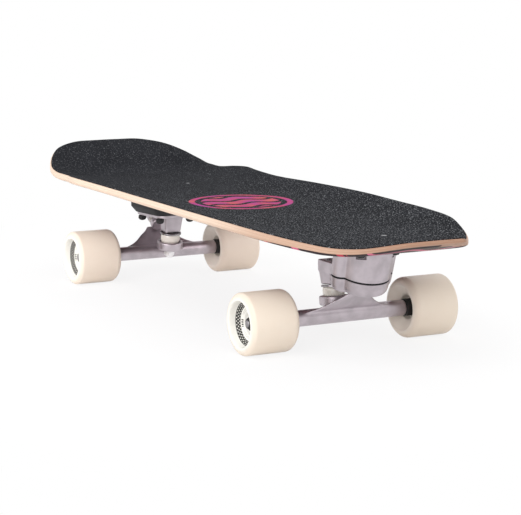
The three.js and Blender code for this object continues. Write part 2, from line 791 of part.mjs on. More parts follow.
function adapterBase() {
  const flangeTop = adapterHeight - clearance;
  const rise = adapterHeight / Math.cos(swingTilt) + lobeRadius * Math.sin(swingTilt);
  const housing = loft([housingRing(0, seamGap / 2), housingRing(-housingFlare, rise)]);
  const wide = lobeRadius + sideLobeAcross + sideLobeRadius;
  const above = placed(slab(-wide, wide, -wide, wide, flangeTop, rise + wide), levelFrame);
  const bearingTop = seamGap / 2 + lowerBearingHeight + 2 * clearance;
  const flangeLow = flangeTop - flangeThickness;
  const scallopRadius = deckNutFlats / Math.sqrt(3) + clearance;
  const scallopLow = flangeLow - deckNutHeights.front - scallopRelief;
  const scallops = boltHoles(flangeForward, scallopRadius, scallopLow, flangeLow);
  const holes = boltHoles(flangeForward, boltHoleRadius, flangeLow - overrun, flangeTop + overrun);
  return cut(
    joined(cut(housing, above), flangeGeometry(flangeTop)),
    rod(lowerBearingOuterRadius + clearance, -overrun, bearingTop, ringSides),
    rod(upperBearingOuterRadius + clearance, bearingTop, rise + overrun, ringSides),
    ...holes.map((hole) => placed(hole, levelFrame)),
    ...scallops.map((scallop) => placed(scallop, levelFrame)),
  );
}

function flangeGeometry(flangeTop) {
  const halfLength = boltSpacingAlong / 2 + flangeMargin;
  const halfWidth = boltSpacingAcross / 2 + flangeMargin;
  const flange = octagonPlate(halfLength, halfWidth, flangeCorner, flangeThickness);
  return placed(flange.translate(flangeForward, 0, flangeTop - flangeThickness), levelFrame);
}

function swingArm() {
  const rim = -seamGap / 2;
  const rings = cupDepthShares.map((share, k) => housingRing(cupInsets[k], rim - share * cupDepth));
  const cup = loft(rings.toReversed());
  const tail = -ringInward - (armTopRise - ringRise) * Math.tan(kingpinTilt) - bossTopHalfLength;
  const beamLow = armTopRise - armBeamHeight;
  const beam = slab(tail, pivotOutward, -armBeamHalfWidth, armBeamHalfWidth, beamLow, armTopRise);
  const trimHigh = armTopRise + cupDepth;
  const trimmed = slab(tail - overrun, swingAxisOutward, -ringRadius, ringRadius, armTopRise, trimHigh);
  const truckSide = cut(joined(beam, kingpinBoss()), trimmed);
  const body = joined(cup, placed(truckSide, truckFrame), placed(pivotBoss(), truckFrame));
  const wide = lobeRadius + sideLobeAcross + sideLobeRadius;
  const above = slab(-wide, wide, -wide, wide, rim, wide);
  const post = rod(postRadius, rim - overrun, postHeight, ringSides);
  const boltHoleLow = postHeight - pivotBoltLength - clearance;
  const boltHole = rod(pivotBoltRadius + clearance, boltHoleLow, postHeight + overrun);
  const tools = seatTools().map((tool) => placed(tool, truckFrame));
  return cut(joined(cut(body, above), post), boltHole, ...tools);
}

// Return spring: one round wire wound about the post
function springGeometry(floor) {
  const points = [];
  const steps = springTurns * springStepsPerTurn;
  const centre = floor + springWireRadius;
  for (let k = 0; k <= steps; k += 1) {
    const turn = (2 * Math.PI * k) / springStepsPerTurn;
    const height = centre + (springPitch * k) / springStepsPerTurn;
    const [x, y] = [Math.cos(turn), Math.sin(turn)].map((share) => springCoilRadius * share);
    points.push(new THREE.Vector3(x, y, height));
  }
  reportSpringGap(points);
  const section = new THREE.Shape();
  section.absarc(0, 0, springWireRadius, 0, 2 * Math.PI);
  const extrudePath = new THREE.CatmullRomCurve3(points);
  const settings = { steps, extrudePath, bevelEnabled: false, curveSegments: springSides };
  return welded(new THREE.ExtrudeGeometry(section, settings));
}

function reportSpringGap(points) {
  let least = Infinity;
  points.forEach((point, k) => {
    for (const other of points.slice(k + springStepsPerTurn - 1)) {
      least = Math.min(least, point.distanceTo(other) - 2 * springWireRadius);
    }
  });
  console.log(`return spring: least gap ${least.toFixed(2)} mm, wanted over ${springLeastGap} mm`);
}

function addAdapter() {
  const adapter = new THREE.Group();
  adapter.position.set(swingAxisX, 0, seamHeight);
  adapter.rotation.y = swingTilt;
  board.add(adapter);
  piece(adapter, "adapter_base", adapterBase(), castMetal);
  piece(adapter, "swing_arm", swingArm(), castMetal);
  const sleeve = postRadius + clearance;
  const lowerFloor = seamGap / 2;
  const springFloor = lowerFloor + lowerBearingHeight + clearance;
  const upperTop = postHeight;
  const lower = tube(sleeve, lowerBearingOuterRadius, 0, lowerBearingHeight);
  piece(adapter, "swing_lower_bearing", lower, steel, 0, 0, lowerFloor);
  const upper = tube(sleeve, upperBearingOuterRadius, -upperBearingHeight, 0);
  piece(adapter, "swing_upper_bearing", upper, steel, 0, 0, upperTop);
  piece(adapter, "swing_return_spring", springGeometry(springFloor), springSteel);
  const bolt = turned([
    [0, -pivotBoltLength], [pivotBoltRadius, -pivotBoltLength], [pivotBoltRadius, 0],
    [pivotBoltHeadRadius, 0], [pivotBoltHeadRadius, pivotBoltHeadHeight], [0, pivotBoltHeadHeight],
  ], bushingSides);
  piece(adapter, "swing_pivot_bolt", bolt, steel, 0, 0, postHeight + clearance);
  const truck = new THREE.Group();
  truck.applyMatrix4(truckFrame);
  adapter.add(truck);
  addSeatParts(truck, "front");
  addHanger(truck, "front");
  addWheels(truck, "front");
}

const places = boltPlaces();
addDeck(places);
addBolts(places);
addRearTruck();
addAdapter();

export default board;
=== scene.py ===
"""A surf skateboard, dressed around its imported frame.

Lengths are in millimetres in the board's own frame: +X to the nose, +Y to the left side, +Z up.
A mesh turns into metres when it is made.
"""

import logging
import math
from collections.abc import Callable, Sequence
from dataclasses import dataclass
from enum import Enum

import bmesh
import bpy
from mathutils import Matrix, Vector


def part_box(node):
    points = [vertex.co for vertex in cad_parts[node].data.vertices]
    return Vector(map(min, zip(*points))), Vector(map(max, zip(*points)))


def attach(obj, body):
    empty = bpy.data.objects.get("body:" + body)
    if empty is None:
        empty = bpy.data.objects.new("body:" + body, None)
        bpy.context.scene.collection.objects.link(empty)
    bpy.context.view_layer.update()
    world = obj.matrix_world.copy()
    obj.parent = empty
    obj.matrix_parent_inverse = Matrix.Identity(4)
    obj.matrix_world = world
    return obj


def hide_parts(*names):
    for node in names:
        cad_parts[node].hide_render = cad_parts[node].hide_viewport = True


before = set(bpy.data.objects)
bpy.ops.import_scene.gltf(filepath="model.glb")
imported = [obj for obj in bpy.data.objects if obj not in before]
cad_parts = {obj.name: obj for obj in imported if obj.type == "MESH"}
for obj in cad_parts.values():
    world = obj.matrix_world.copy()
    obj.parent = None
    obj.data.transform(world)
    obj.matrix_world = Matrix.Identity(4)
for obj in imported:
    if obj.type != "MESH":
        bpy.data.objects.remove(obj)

log = logging.getLogger("surf_skateboard")

METRES_PER_MM = 0.001
WELD_MM = 0.0005
DEGENERATE_MM = 0.0001
SHARP_ANGLE = math.radians(33)
SIDES = 48
FINE_SIDES = 64
OUT_OF_THE_WAY = 70.0
NOISE_SPAN = (0.3, 0.7)
NOISE_MIDDLE = 0.5
CURVE_SPANS = (((0, 1), (1, 2), (2, 3)), ((0, 2), (1, 3)), ((1, 2),))

Colour = tuple[float, float, float]
Point = tuple[float, float, float]
Band = tuple[float, float, float]
Span = tuple[float, float]
Profile = Sequence[tuple[float, float]]
Section = tuple[float, float, float, float]
Ring = list[Vector]


class Body(Enum):
    """Bodies of the frame that pieces ride on."""

    BOARD = "board"
    ARM = "surf_arm"
    FRONT_HANGER = "front_truck_hanger"
    REAR_HANGER = "rear_truck_hanger"


class Slot(Enum):
    """Material slot names."""

    MAPLE = "maple"
    GRIP = "grip"
    CAST = "cast_aluminium"
    STEEL = "steel"
    BLACK_STEEL = "black_steel"
    BLACK_PLASTIC = "black_plastic"
    URETHANE = "urethane"
    BUSHING = "bushing_urethane"
    SPRING = "spring_steel"


class End(Enum):
    """The two trucks."""

    FRONT = "front"
    REAR = "rear"


class Side(Enum):
    """The two sides of the board, as signs of Y."""

    LEFT = 1
    RIGHT = -1

    @property
    def word(self) -> str:
        """The side's name in lower case."""
        return self.name.lower()


def moved(x: float = 0, y: float = 0, z: float = 0) -> Matrix:
    """A shift in millimetres."""
    return Matrix.Translation((x, y, z))


def turned(degrees: float, axis: str) -> Matrix:
    """A turn about one axis, in degrees."""
    return Matrix.Rotation(math.radians(degrees), 4, axis)


def leaning(x: float, z: float, degrees: float) -> Matrix:
    """A frame in the board's middle plane, its Z leaning towards +X."""
    return moved(x, 0, z) @ turned(degrees, "Y")


# Shader expressions


class Value:
    """A number in a material, on which Python's operators add Math nodes."""

    def __init__(self, shader: "Shader", socket: bpy.types.NodeSocket) -> None:
        """Wraps a socket of one shader."""
        self.shader = shader
        self.socket = socket

    def __add__(self, other: "Value | float") -> "Value":
        """The sum."""
        return self.shader.math("ADD", self, other)

    __radd__ = __add__

    def __sub__(self, other: "Value | float") -> "Value":
        """The difference."""
        return self.shader.math("SUBTRACT", self, other)

    def __rsub__(self, other: float) -> "Value":
        """The difference from a number."""
        return self.shader.math("SUBTRACT", other, self)

    def __mul__(self, other: "Value | float") -> "Value":
        """The product."""
        return self.shader.math("MULTIPLY", self, other)

    __rmul__ = __mul__

    def __truediv__(self, other: "Value | float") -> "Value":
        """The quotient."""
        return self.shader.math("DIVIDE", self, other)

    def rise(self, low: float, high: float) -> "Value":
        """A smooth step from 0 at low to 1 at high.

        Args:
            low: Value at which the step starts.
            high: Value at which the step ends.

        Returns:
            The step, between 0 and 1.
        """
        step = {"interpolation_type": "SMOOTHSTEP"}
        values = {"Value": self, "From Min": low, "From Max": high}
        return Value(self.shader, self.shader.node("ShaderNodeMapRange", step, values).outputs[0])

    def spread(self) -> "Value":
        """A noise stretched to reach from 0 to 1."""
        return self.rise(*NOISE_SPAN)

    def about(self, share: float) -> "Value":
        """How far a noise is from its middle, times a share."""
        return (self - NOISE_MIDDLE) * share

    def band(self, low: float, high: float, soft: float) -> "Value":
        """1 between two values, 0 outside, with soft flanks.

        Args:
            low: Lower end of the band.
            high: Upper end of the band.
            soft: Width of each flank.

        Returns:
            The mask, between 0 and 1.
        """
        return self.rise(low - soft, low + soft) * (1 - self.rise(high - soft, high + soft))


Link = Value | bpy.types.NodeSocket | float | tuple[float, ...]


class Shader:
    """The nodes of one material or world."""

    def __init__(self, owner: bpy.types.ID) -> None:
        """Empties the owner's node tree.

        Args:
            owner: A material or a world.
        """
        owner.use_nodes = True
        self.tree = owner.node_tree
        self.tree.nodes.clear()

    def node(self, kind: str, settings: dict[str, object], values: dict[str | int, Link]) -> bpy.types.Node:
        """Adds one node.

        Args:
            kind: The node's type.
            settings: Its settings, set first; "stops" gives a colour ramp's stops.
            values: Numbers, colours or links for its input sockets, by name or place.

        Returns:
            The new node.
        """
        node = self.tree.nodes.new(kind)
        for key, setting in settings.items():
            if key == "stops":
                self._stops(node.color_ramp.elements, setting)
            else:
                setattr(node, key, setting)
        for key, value in values.items():
            if isinstance(value, Value):
                value = value.socket
            if isinstance(value, bpy.types.NodeSocket):
                self.tree.links.new(value, node.inputs[key])
            else:
                node.inputs[key].default_value = value
        return node

    @staticmethod
    def _stops(elements: bpy.types.ColorRampElements, stops: Sequence[tuple[float, Colour]]) -> None:
        """Gives a colour ramp its stops.

        Args:
            elements: The ramp's own stops.
            stops: Places and colours for them.
        """
        while len(elements) < len(stops):
            elements.new(0.5)
        for element, (place, colour) in zip(elements, stops, strict=True):
            element.position = place
            element.color = (*colour, 1)

    def math(self, operation: str, *operands: "Value | float") -> Value:
        """Adds one Math node."""
        node = self.node("ShaderNodeMath", {"operation": operation}, dict(enumerate(operands)))
        return Value(self, node.outputs[0])

    def mix(self, factor: "Value | float", low: Link, high: Link) -> bpy.types.NodeSocket:
        """A colour between two others.

        Args:
            factor: 0 for the first colour, 1 for the second.
            low: The first colour.
            high: The second colour.

        Returns:
            The mixed colour's socket.
        """
        ends = [(*end, 1) if isinstance(end, tuple) else end for end in (low, high)]
        node = self.node("ShaderNodeMix", {"data_type": "RGBA"}, {0: factor, 6: ends[0], 7: ends[1]})
        return node.outputs[2]

    def ramp(self, factor: Value, stops: Sequence[tuple[float, Colour]]) -> bpy.types.NodeSocket:
        """A colour from a ramp."""
        return self.node("ShaderNodeValToRGB", {"stops": stops}, {0: factor}).outputs[0]

    def place(self) -> bpy.types.NodeSocket:
        """The point on the object, in millimetres.

        Returns:
            The point's socket.
        """
        point = self.node("ShaderNodeTexCoord", {}, {}).outputs["Object"]
        scale = 1 / METRES_PER_MM
        return self.node("ShaderNodeVectorMath", {"operation": "SCALE"}, {0: point, 3: scale}).outputs[0]

    def split(self, vector: bpy.types.NodeSocket) -> tuple[Value, Value, Value]:
        """The three numbers of a vector.

        Args:
            vector: The vector's socket.

        Returns:
            The numbers.
        """
        node = self.node("ShaderNodeSeparateXYZ", {}, {0: vector})
        x, y, z = (Value(self, socket) for socket in node.outputs)
        return x, y, z

    def stretched(self, vector: bpy.types.NodeSocket, scale: Point) -> bpy.types.NodeSocket:
        """A vector scaled along its axes."""
        node = self.node("ShaderNodeVectorMath", {"operation": "MULTIPLY"}, {0: vector, 1: scale})
        return node.outputs[0]

    def noise(self, vector: bpy.types.NodeSocket, size: float, detail: float = 2) -> Value:
        """Soft noise about 0.5.

        Args:
            vector: The point to look it up at, in millimetres.
            size: Size of its grains, in millimetres.
            detail: Octaves of finer grains.

        Returns:
            The noise.
        """
        node = self.node("ShaderNodeTexNoise", {}, {"Vector": vector, "Scale": 1 / size, "Detail": detail})
        return Value(self, node.outputs[0])

    def bump(self, height: Value, depth: float) -> bpy.types.NodeSocket:
        """A normal from a height.

        Args:
            height: The height, between 0 and 1.
            depth: What a height of 1 is, in millimetres.

        Returns:
            The normal's socket.
        """
        values = {"Height": height, "Distance": depth * METRES_PER_MM, "Strength": 1.0}
        return self.node("ShaderNodeBump", {}, values).outputs[0]

    def finish(self, values: dict[str | int, Link]) -> None:
        """Ends a material with a principled surface.

        Args:
            values: Numbers, colours or links for the surface's sockets, by name.
        """
        values = {key: (*value, 1) if key == "Base Color" and isinstance(value, tuple) else value
                  for key, value in values.items()}
        surface = self.node("ShaderNodeBsdfPrincipled", {}, values)
        self.node("ShaderNodeOutputMaterial", {}, {0: surface.outputs[0]})


# Finishes


@dataclass(frozen=True)
class Finish:
    """A surface that makes its material when it is first used."""

    name: str

    def material(self) -> bpy.types.Material:
        """The finish's one material.

        Returns:
            The material.
        """
        name = f"{self.name}_finish"
        made = bpy.data.materials.get(name)
        if made is None:
            made = bpy.data.materials.new(name)
            self.paint(Shader(made))
        return made

    def paint(self, shader: Shader) -> None:
        """Adds the finish's nodes."""
        raise NotImplementedError


@dataclass(frozen=True)
class Metal(Finish):
    """Cast, turned or plated metal with a fine grain, cloudy gloss and faint scuffs."""

    colour: Colour
    roughness: float
    metallic: float = 1.0
    grain: float = 0.9
    grain_depth: float = 0.03
    grain_gloss: float = 0.1
    cloud: float = 14.0
    cloud_gloss: float = 0.12
    contrast: float = 0.12
    scuff: float = 2.2
    scuff_stretch: Point = (0.25, 1.0, 0.5)
    scuff_span: Span = (0.62, 0.75)
    scuff_gloss: float = 0.05

    def paint(self, shader: Shader) -> None:
        """Adds the metal's nodes.

        Args:
            shader: The material's nodes.
        """
        point = shader.place()
        cloud = shader.noise(point, self.cloud, 4)
        grain = shader.noise(point, self.grain, 3)
        scuff = shader.noise(shader.stretched(point, self.scuff_stretch), self.scuff, 5)
        scuff = scuff.rise(*self.scuff_span)
        dark = tuple(part * (1 - self.contrast) for part in self.colour)
        light = tuple(min(part * (1 + self.contrast), 1) for part in self.colour)
        gloss = cloud.about(self.cloud_gloss)
        shader.finish({
            "Base Color": shader.mix(cloud.spread(), dark, light),
            "Roughness": self.roughness + gloss + grain.about(self.grain_gloss) - scuff * self.scuff_gloss,
            "Metallic": self.metallic,
            "Normal": shader.bump(grain, self.grain_depth),
        })


@dataclass(frozen=True)
class Moulded(Finish):
    """Moulded plastic, rubber or urethane with a skin grain and a little dust."""

    colour: Colour
    roughness: float
    grain: float = 0.6
    grain_depth: float = 0.02
    cloud: float = 9.0
    cloud_gloss: float = 0.15
    dust: Colour = (0.5, 0.48, 0.46)
    dust_span: Span = (0.45, 0.8)
    dusting: float = 0.08
    coat: float = 0.0

    def paint(self, shader: Shader) -> None:
        """Adds the moulded surface's nodes.

        Args:
            shader: The material's nodes.
        """
        point = shader.place()
        grain = shader.noise(point, self.grain, 2)
        cloud = shader.noise(point, self.cloud, 4)
        base = shader.mix(cloud.rise(*self.dust_span) * self.dusting, self.colour, self.dust)
        shader.finish({
            "Base Color": base,
            "Roughness": self.roughness + cloud.about(self.cloud_gloss),
            "Coat Weight": self.coat,
            "Normal": shader.bump(grain, self.grain_depth),
        })


@dataclass(frozen=True)
class UndersidePrint(Finish):
    """The deck's lacquered underside: charcoal with wavy crimson and pink lines of no one's design."""

    ground: Colour = (0.022, 0.014, 0.016)
    crimson: Colour = (0.50, 0.050, 0.080)
    pink: Colour = (0.62, 0.15, 0.24)
    pitch: float = 35.0
    wave: float = 7.0
    wave_length: float = 62.0
    start: float = 339.5
    line: Band = (0.41, 0.59, 0.012)
    thin_line: Band = (0.68, 0.705, 0.008)
    grain_stretch: Point = (0.03, 0.9, 1)
    grain_depth: float = 0.03
    grain_gloss: float = 0.12
    wood: Colour = (0.075, 0.048, 0.052)
    wood_share: float = 0.35
    scuffed: Colour = (0.30, 0.25, 0.24)
    scuff_stretch: Point = (0.04, 0.5, 1)
    scuff_span: Span = (0.66, 0.74)
    scuff_share: float = 0.2
    scuff_gloss: float = 0.3
    roughness: float = 0.4
    specular: float = 0.15

    def ink(self, shader: Shader, point: bpy.types.NodeSocket) -> bpy.types.NodeSocket:
        """The print's colour at a point.

        Args:
            shader: The material's nodes.
            point: The point, in millimetres.

        Returns:
            The colour's socket.
        """
        x, y, _ = shader.split(point)
        wave = shader.math("SINE", y * (2 * math.pi / self.wave_length)) * self.wave
        count = (x - self.start + wave) / self.pitch + 0.5
        across = shader.math("FRACT", count)
        every = shader.math("PINGPONG", shader.math("FLOOR", count), 1.0)
        line = across.band(*self.line)
        thin = across.band(*self.thin_line) * (1 - every)
        wood = shader.noise(shader.stretched(point, self.grain_stretch), 1, 4)
        ground = shader.mix(wood.spread() * self.wood_share, self.ground, self.wood)
        colour = shader.mix(every, self.crimson, self.pink)
        return shader.mix(shader.math("MAXIMUM", line, thin), ground, colour)

    def paint(self, shader: Shader) -> None:
        """Adds the print's nodes.

        Args:
            shader: The material's nodes.
        """
        point = shader.place()
        grain = shader.noise(shader.stretched(point, self.grain_stretch), 1, 4)
        scuffs = shader.noise(shader.stretched(point, self.scuff_stretch), 1, 6).rise(*self.scuff_span)
        shader.finish({
            "Base Color": shader.mix(scuffs * self.scuff_share, self.ink(shader, point), self.scuffed),
            "Roughness": self.roughness + scuffs * self.scuff_gloss + grain.about(self.grain_gloss),
            "Specular IOR Level": self.specular,
            "Normal": shader.bump(grain, self.grain_depth),
        })


@dataclass(frozen=True)
class PlyEdge(Finish):
    """The deck's sanded edge: seven maple plies, browner to the nose, with the print rolled over it there."""

    under: UndersidePrint
    pale: Colour = (0.82, 0.66, 0.52)
    peach: Colour = (0.60, 0.40, 0.29)
    brown: Colour = (0.40, 0.25, 0.175)
    glue: Colour = (0.22, 0.10, 0.06)
    dark: Colour = (0.36, 0.17, 0.10)
    light: Colour = (0.88, 0.76, 0.64)
    plies: int = 7
    wander: float = 0.35
    streak_stretch: Point = (0.02, 26, 1)
    streak_share: float = 0.7
    streak_gloss: float = 0.2
    figure_stretch: Point = (0.03, 5, 1)
    figure_span: Span = (0.58, 0.8)
    figure_share: float = 0.3
    tone_step: float = 0.618
    tone_start: float = 0.2
    tone_share: float = 0.5
    dark_span: Span = (0.3, 1.0)
    dark_share: float = 0.25
    dark_at_nose: float = 0.55
    seam_span: Span = (0.02, 0.16)
    seam_share: float = 0.3
    peach_from: float = 120.0
    peach_to: float = 300.0
    brown_from: float = 325.0
    brown_to: float = 402.0
    print_from: float = 230.0
    print_to: float = 330.0
    print_reach: float = 0.26
    print_at_nose: float = 0.16
    print_lift: float = 0.02
    print_wander: float = 0.06
    print_soft: float = 0.02
    print_gloss: float = 0.2
    worn_from: float = 370.0
    worn_to: float = 395.0
    worn_across: Span = (4, 22)
    roughness: float = 0.55
    specular: float = 0.25
    relief: float = 0.06

    def paint(self, shader: Shader) -> None:
        """Adds the edge's nodes. The mesh's UVs give the way along it and the share of its height.

        Args:
            shader: The material's nodes.
        """
        coordinates = shader.node("ShaderNodeTexCoord", {}, {}).outputs["UV"]
        _, height, _ = shader.split(coordinates)
        point = shader.place()
        x, y, _ = shader.split(point)
        streaks = shader.noise(shader.stretched(coordinates, self.streak_stretch), 1, 3)
        figure = shader.noise(shader.stretched(coordinates, self.figure_stretch), 1, 4)
        level = height * self.plies + figure.about(self.wander)
        tone = shader.math("FRACT", shader.math("FLOOR", level) * self.tone_step + self.tone_start)
        seam = shader.math("PINGPONG", level, 0.5)
        wood = shader.mix(x.rise(self.peach_from, self.peach_to), self.pale, self.peach)
        wood = shader.mix(x.rise(self.brown_from, self.brown_to), wood, self.brown)
        nearness = x.rise(self.peach_to, self.brown_to)
        uneven = (tone * self.tone_share + streaks * self.streak_share).rise(*self.dark_span)
        wood = shader.mix(uneven * (self.dark_share + nearness * self.dark_at_nose), wood, self.dark)
        wood = shader.mix((1 - seam.rise(*self.seam_span)) * self.seam_share, wood, self.glue)
        wood = shader.mix(figure.rise(*self.figure_span) * self.figure_share, wood, self.light)
        worn = x.rise(self.worn_from, self.worn_to) * y.rise(*self.worn_across)
        reach = x.rise(self.print_from, self.print_to) * (self.print_reach + nearness * self.print_at_nose)
        reach = reach * (1 - worn) + self.print_lift + figure.about(self.print_wander)
        printed = (reach - height).rise(-self.print_soft, self.print_soft)
        shader.finish({
            "Base Color": shader.mix(printed, wood, self.under.ink(shader, point)),
            "Roughness": self.roughness + streaks.about(self.streak_gloss) + printed * self.print_gloss,
            "Specular IOR Level": self.specular,
            "Normal": shader.bump(streaks + seam, self.relief),
        })


@dataclass(frozen=True)
class Grip(Finish):
    """Gritty sheet: charcoal with painted glints that grow towards the nose, two pale spots, and a round wave
    print in the middle.
    """

    ground: Colour = (0.0150, 0.0158, 0.0185)
    lighter: Colour = (0.020, 0.021, 0.0245)
    # Pale colour of the painted glints: highlights painted on the grit
    painted_glint: Colour = (0.36, 0.37, 0.39)
    pale_spot: Colour = (0.42, 0.42, 0.43)
    crimson: Colour = (0.52, 0.08, 0.19)
    magenta: Colour = (0.46, 0.08, 0.32)
    coral: Colour = (0.66, 0.15, 0.13)
    centre: tuple[float, float] = (-5.5, -1.0)
    radius: float = 61.0
    rim: float = 7.0
    rim_soft: float = 0.5
    wave_pitch: float = 27.0
    wave_height: float = 5.0
    wave_length: float = 46.0
    gap_share: float = 2.1
    stripe: Band = (0.16, 0.84, 0.02)
    grit: float = 0.8
    grit_depth: float = 0.35
    cloud: float = 60.0
    glint_size: float = 1.5
    glint_span: Span = (0.62, 0.74)
    glint_share: float = 0.2
    glint_at_nose: float = 0.4
    glint_way: Span = (-300, 200)
    glint_gloss: float = 0.25
    hue: float = 24.0
    hue_places: tuple[float, float, float] = (0.3, 0.5, 0.72)
    ink_share: float = 0.9
    dark: Colour = (0.13, 0.035, 0.06)
    dark_span: Span = (0.4, 0.7)
    dark_share: float = 0.3
    roughness: float = 0.92
    specular: float = 0.04
    pale_spot_share: float = 0.8
    pale_spot_span: Span = (0.7, 1.1)
    pale_spots: tuple[Section, ...] = ((283.9, 14.2, 3.0, 3.4), (-185.8, 17.7, 2.4, 2.6))

    def spot(self, shader: Shader, x: Value, y: Value, place: Section) -> Value:
        """A soft oval.

        Args:
            shader: The material's nodes.
            x: The point's place along the board.
            y: Its place across the board.
            place: The oval's middle and half its size along and across the board.

        Returns:
            The mask, between 0 and 1.
        """
        along, across = (x - place[0]) / place[2], (y - place[1]) / place[3]
        return 1 - shader.math("SQRT", along * along + across * across).rise(*self.pale_spot_span)

    def print_mask(self, shader: Shader, x: Value, y: Value) -> Value:
        """Where the print is: a ring about a disc that wavy gaps split.

        Args:
            shader: The material's nodes.
            x: The point's place along the board from the print's centre.
            y: Its place across the board from the print's centre.

        Returns:
            The mask, between 0 and 1.
        """
        radius = shader.math("SQRT", x * x + y * y)
        ring = radius.band(self.radius - self.rim, self.radius, self.rim_soft)
        disc_edge = self.radius - self.gap_share * self.rim
        disc = 1 - radius.rise(disc_edge, disc_edge + 1)
        wave = shader.math("SINE", y * (2 * math.pi / self.wave_length)) * self.wave_height
        stripe = shader.math("FRACT", (x + wave) / self.wave_pitch + 0.5).band(*self.stripe)
        return shader.math("MAXIMUM", ring, disc * stripe)

    def paint(self, shader: Shader) -> None:
        """Adds the sheet's nodes.

        Args:
            shader: The material's nodes.
        """
        point = shader.place()
        x, y, _ = shader.split(point)
        grit = shader.noise(point, self.grit, 1)
        cloud = shader.noise(point, self.cloud, 3)
        # Painted highlights: sparse pale glints in the base colour, more of them towards the nose
        painted_glints = shader.noise(point, self.glint_size, 0).rise(*self.glint_span)
        base = shader.mix(cloud.spread(), self.ground, self.lighter)
        painted_shine = painted_glints * (self.glint_share + x.rise(*self.glint_way) * self.glint_at_nose)
        base = shader.mix(painted_shine, base, self.painted_glint)
        # Two soft pale oval spots lighten the sheet
        for place in self.pale_spots:
            base = shader.mix(self.spot(shader, x, y, place) * self.pale_spot_share, base, self.pale_spot)
        colours = (self.magenta, self.crimson, self.coral)
        ink = shader.ramp(shader.noise(point, self.hue, 2), list(zip(self.hue_places, colours, strict=True)))
        ink = shader.mix(grit.rise(*self.dark_span) * self.dark_share, ink, self.dark)
        mask = self.print_mask(shader, x - self.centre[0], y - self.centre[1])
        shader.finish({
            "Base Color": shader.mix(mask * self.ink_share, base, ink),
            "Roughness": self.roughness - painted_glints * self.glint_gloss,
            "Specular IOR Level": self.specular,
            "Normal": shader.bump(grit + painted_glints, self.grit_depth),
        })


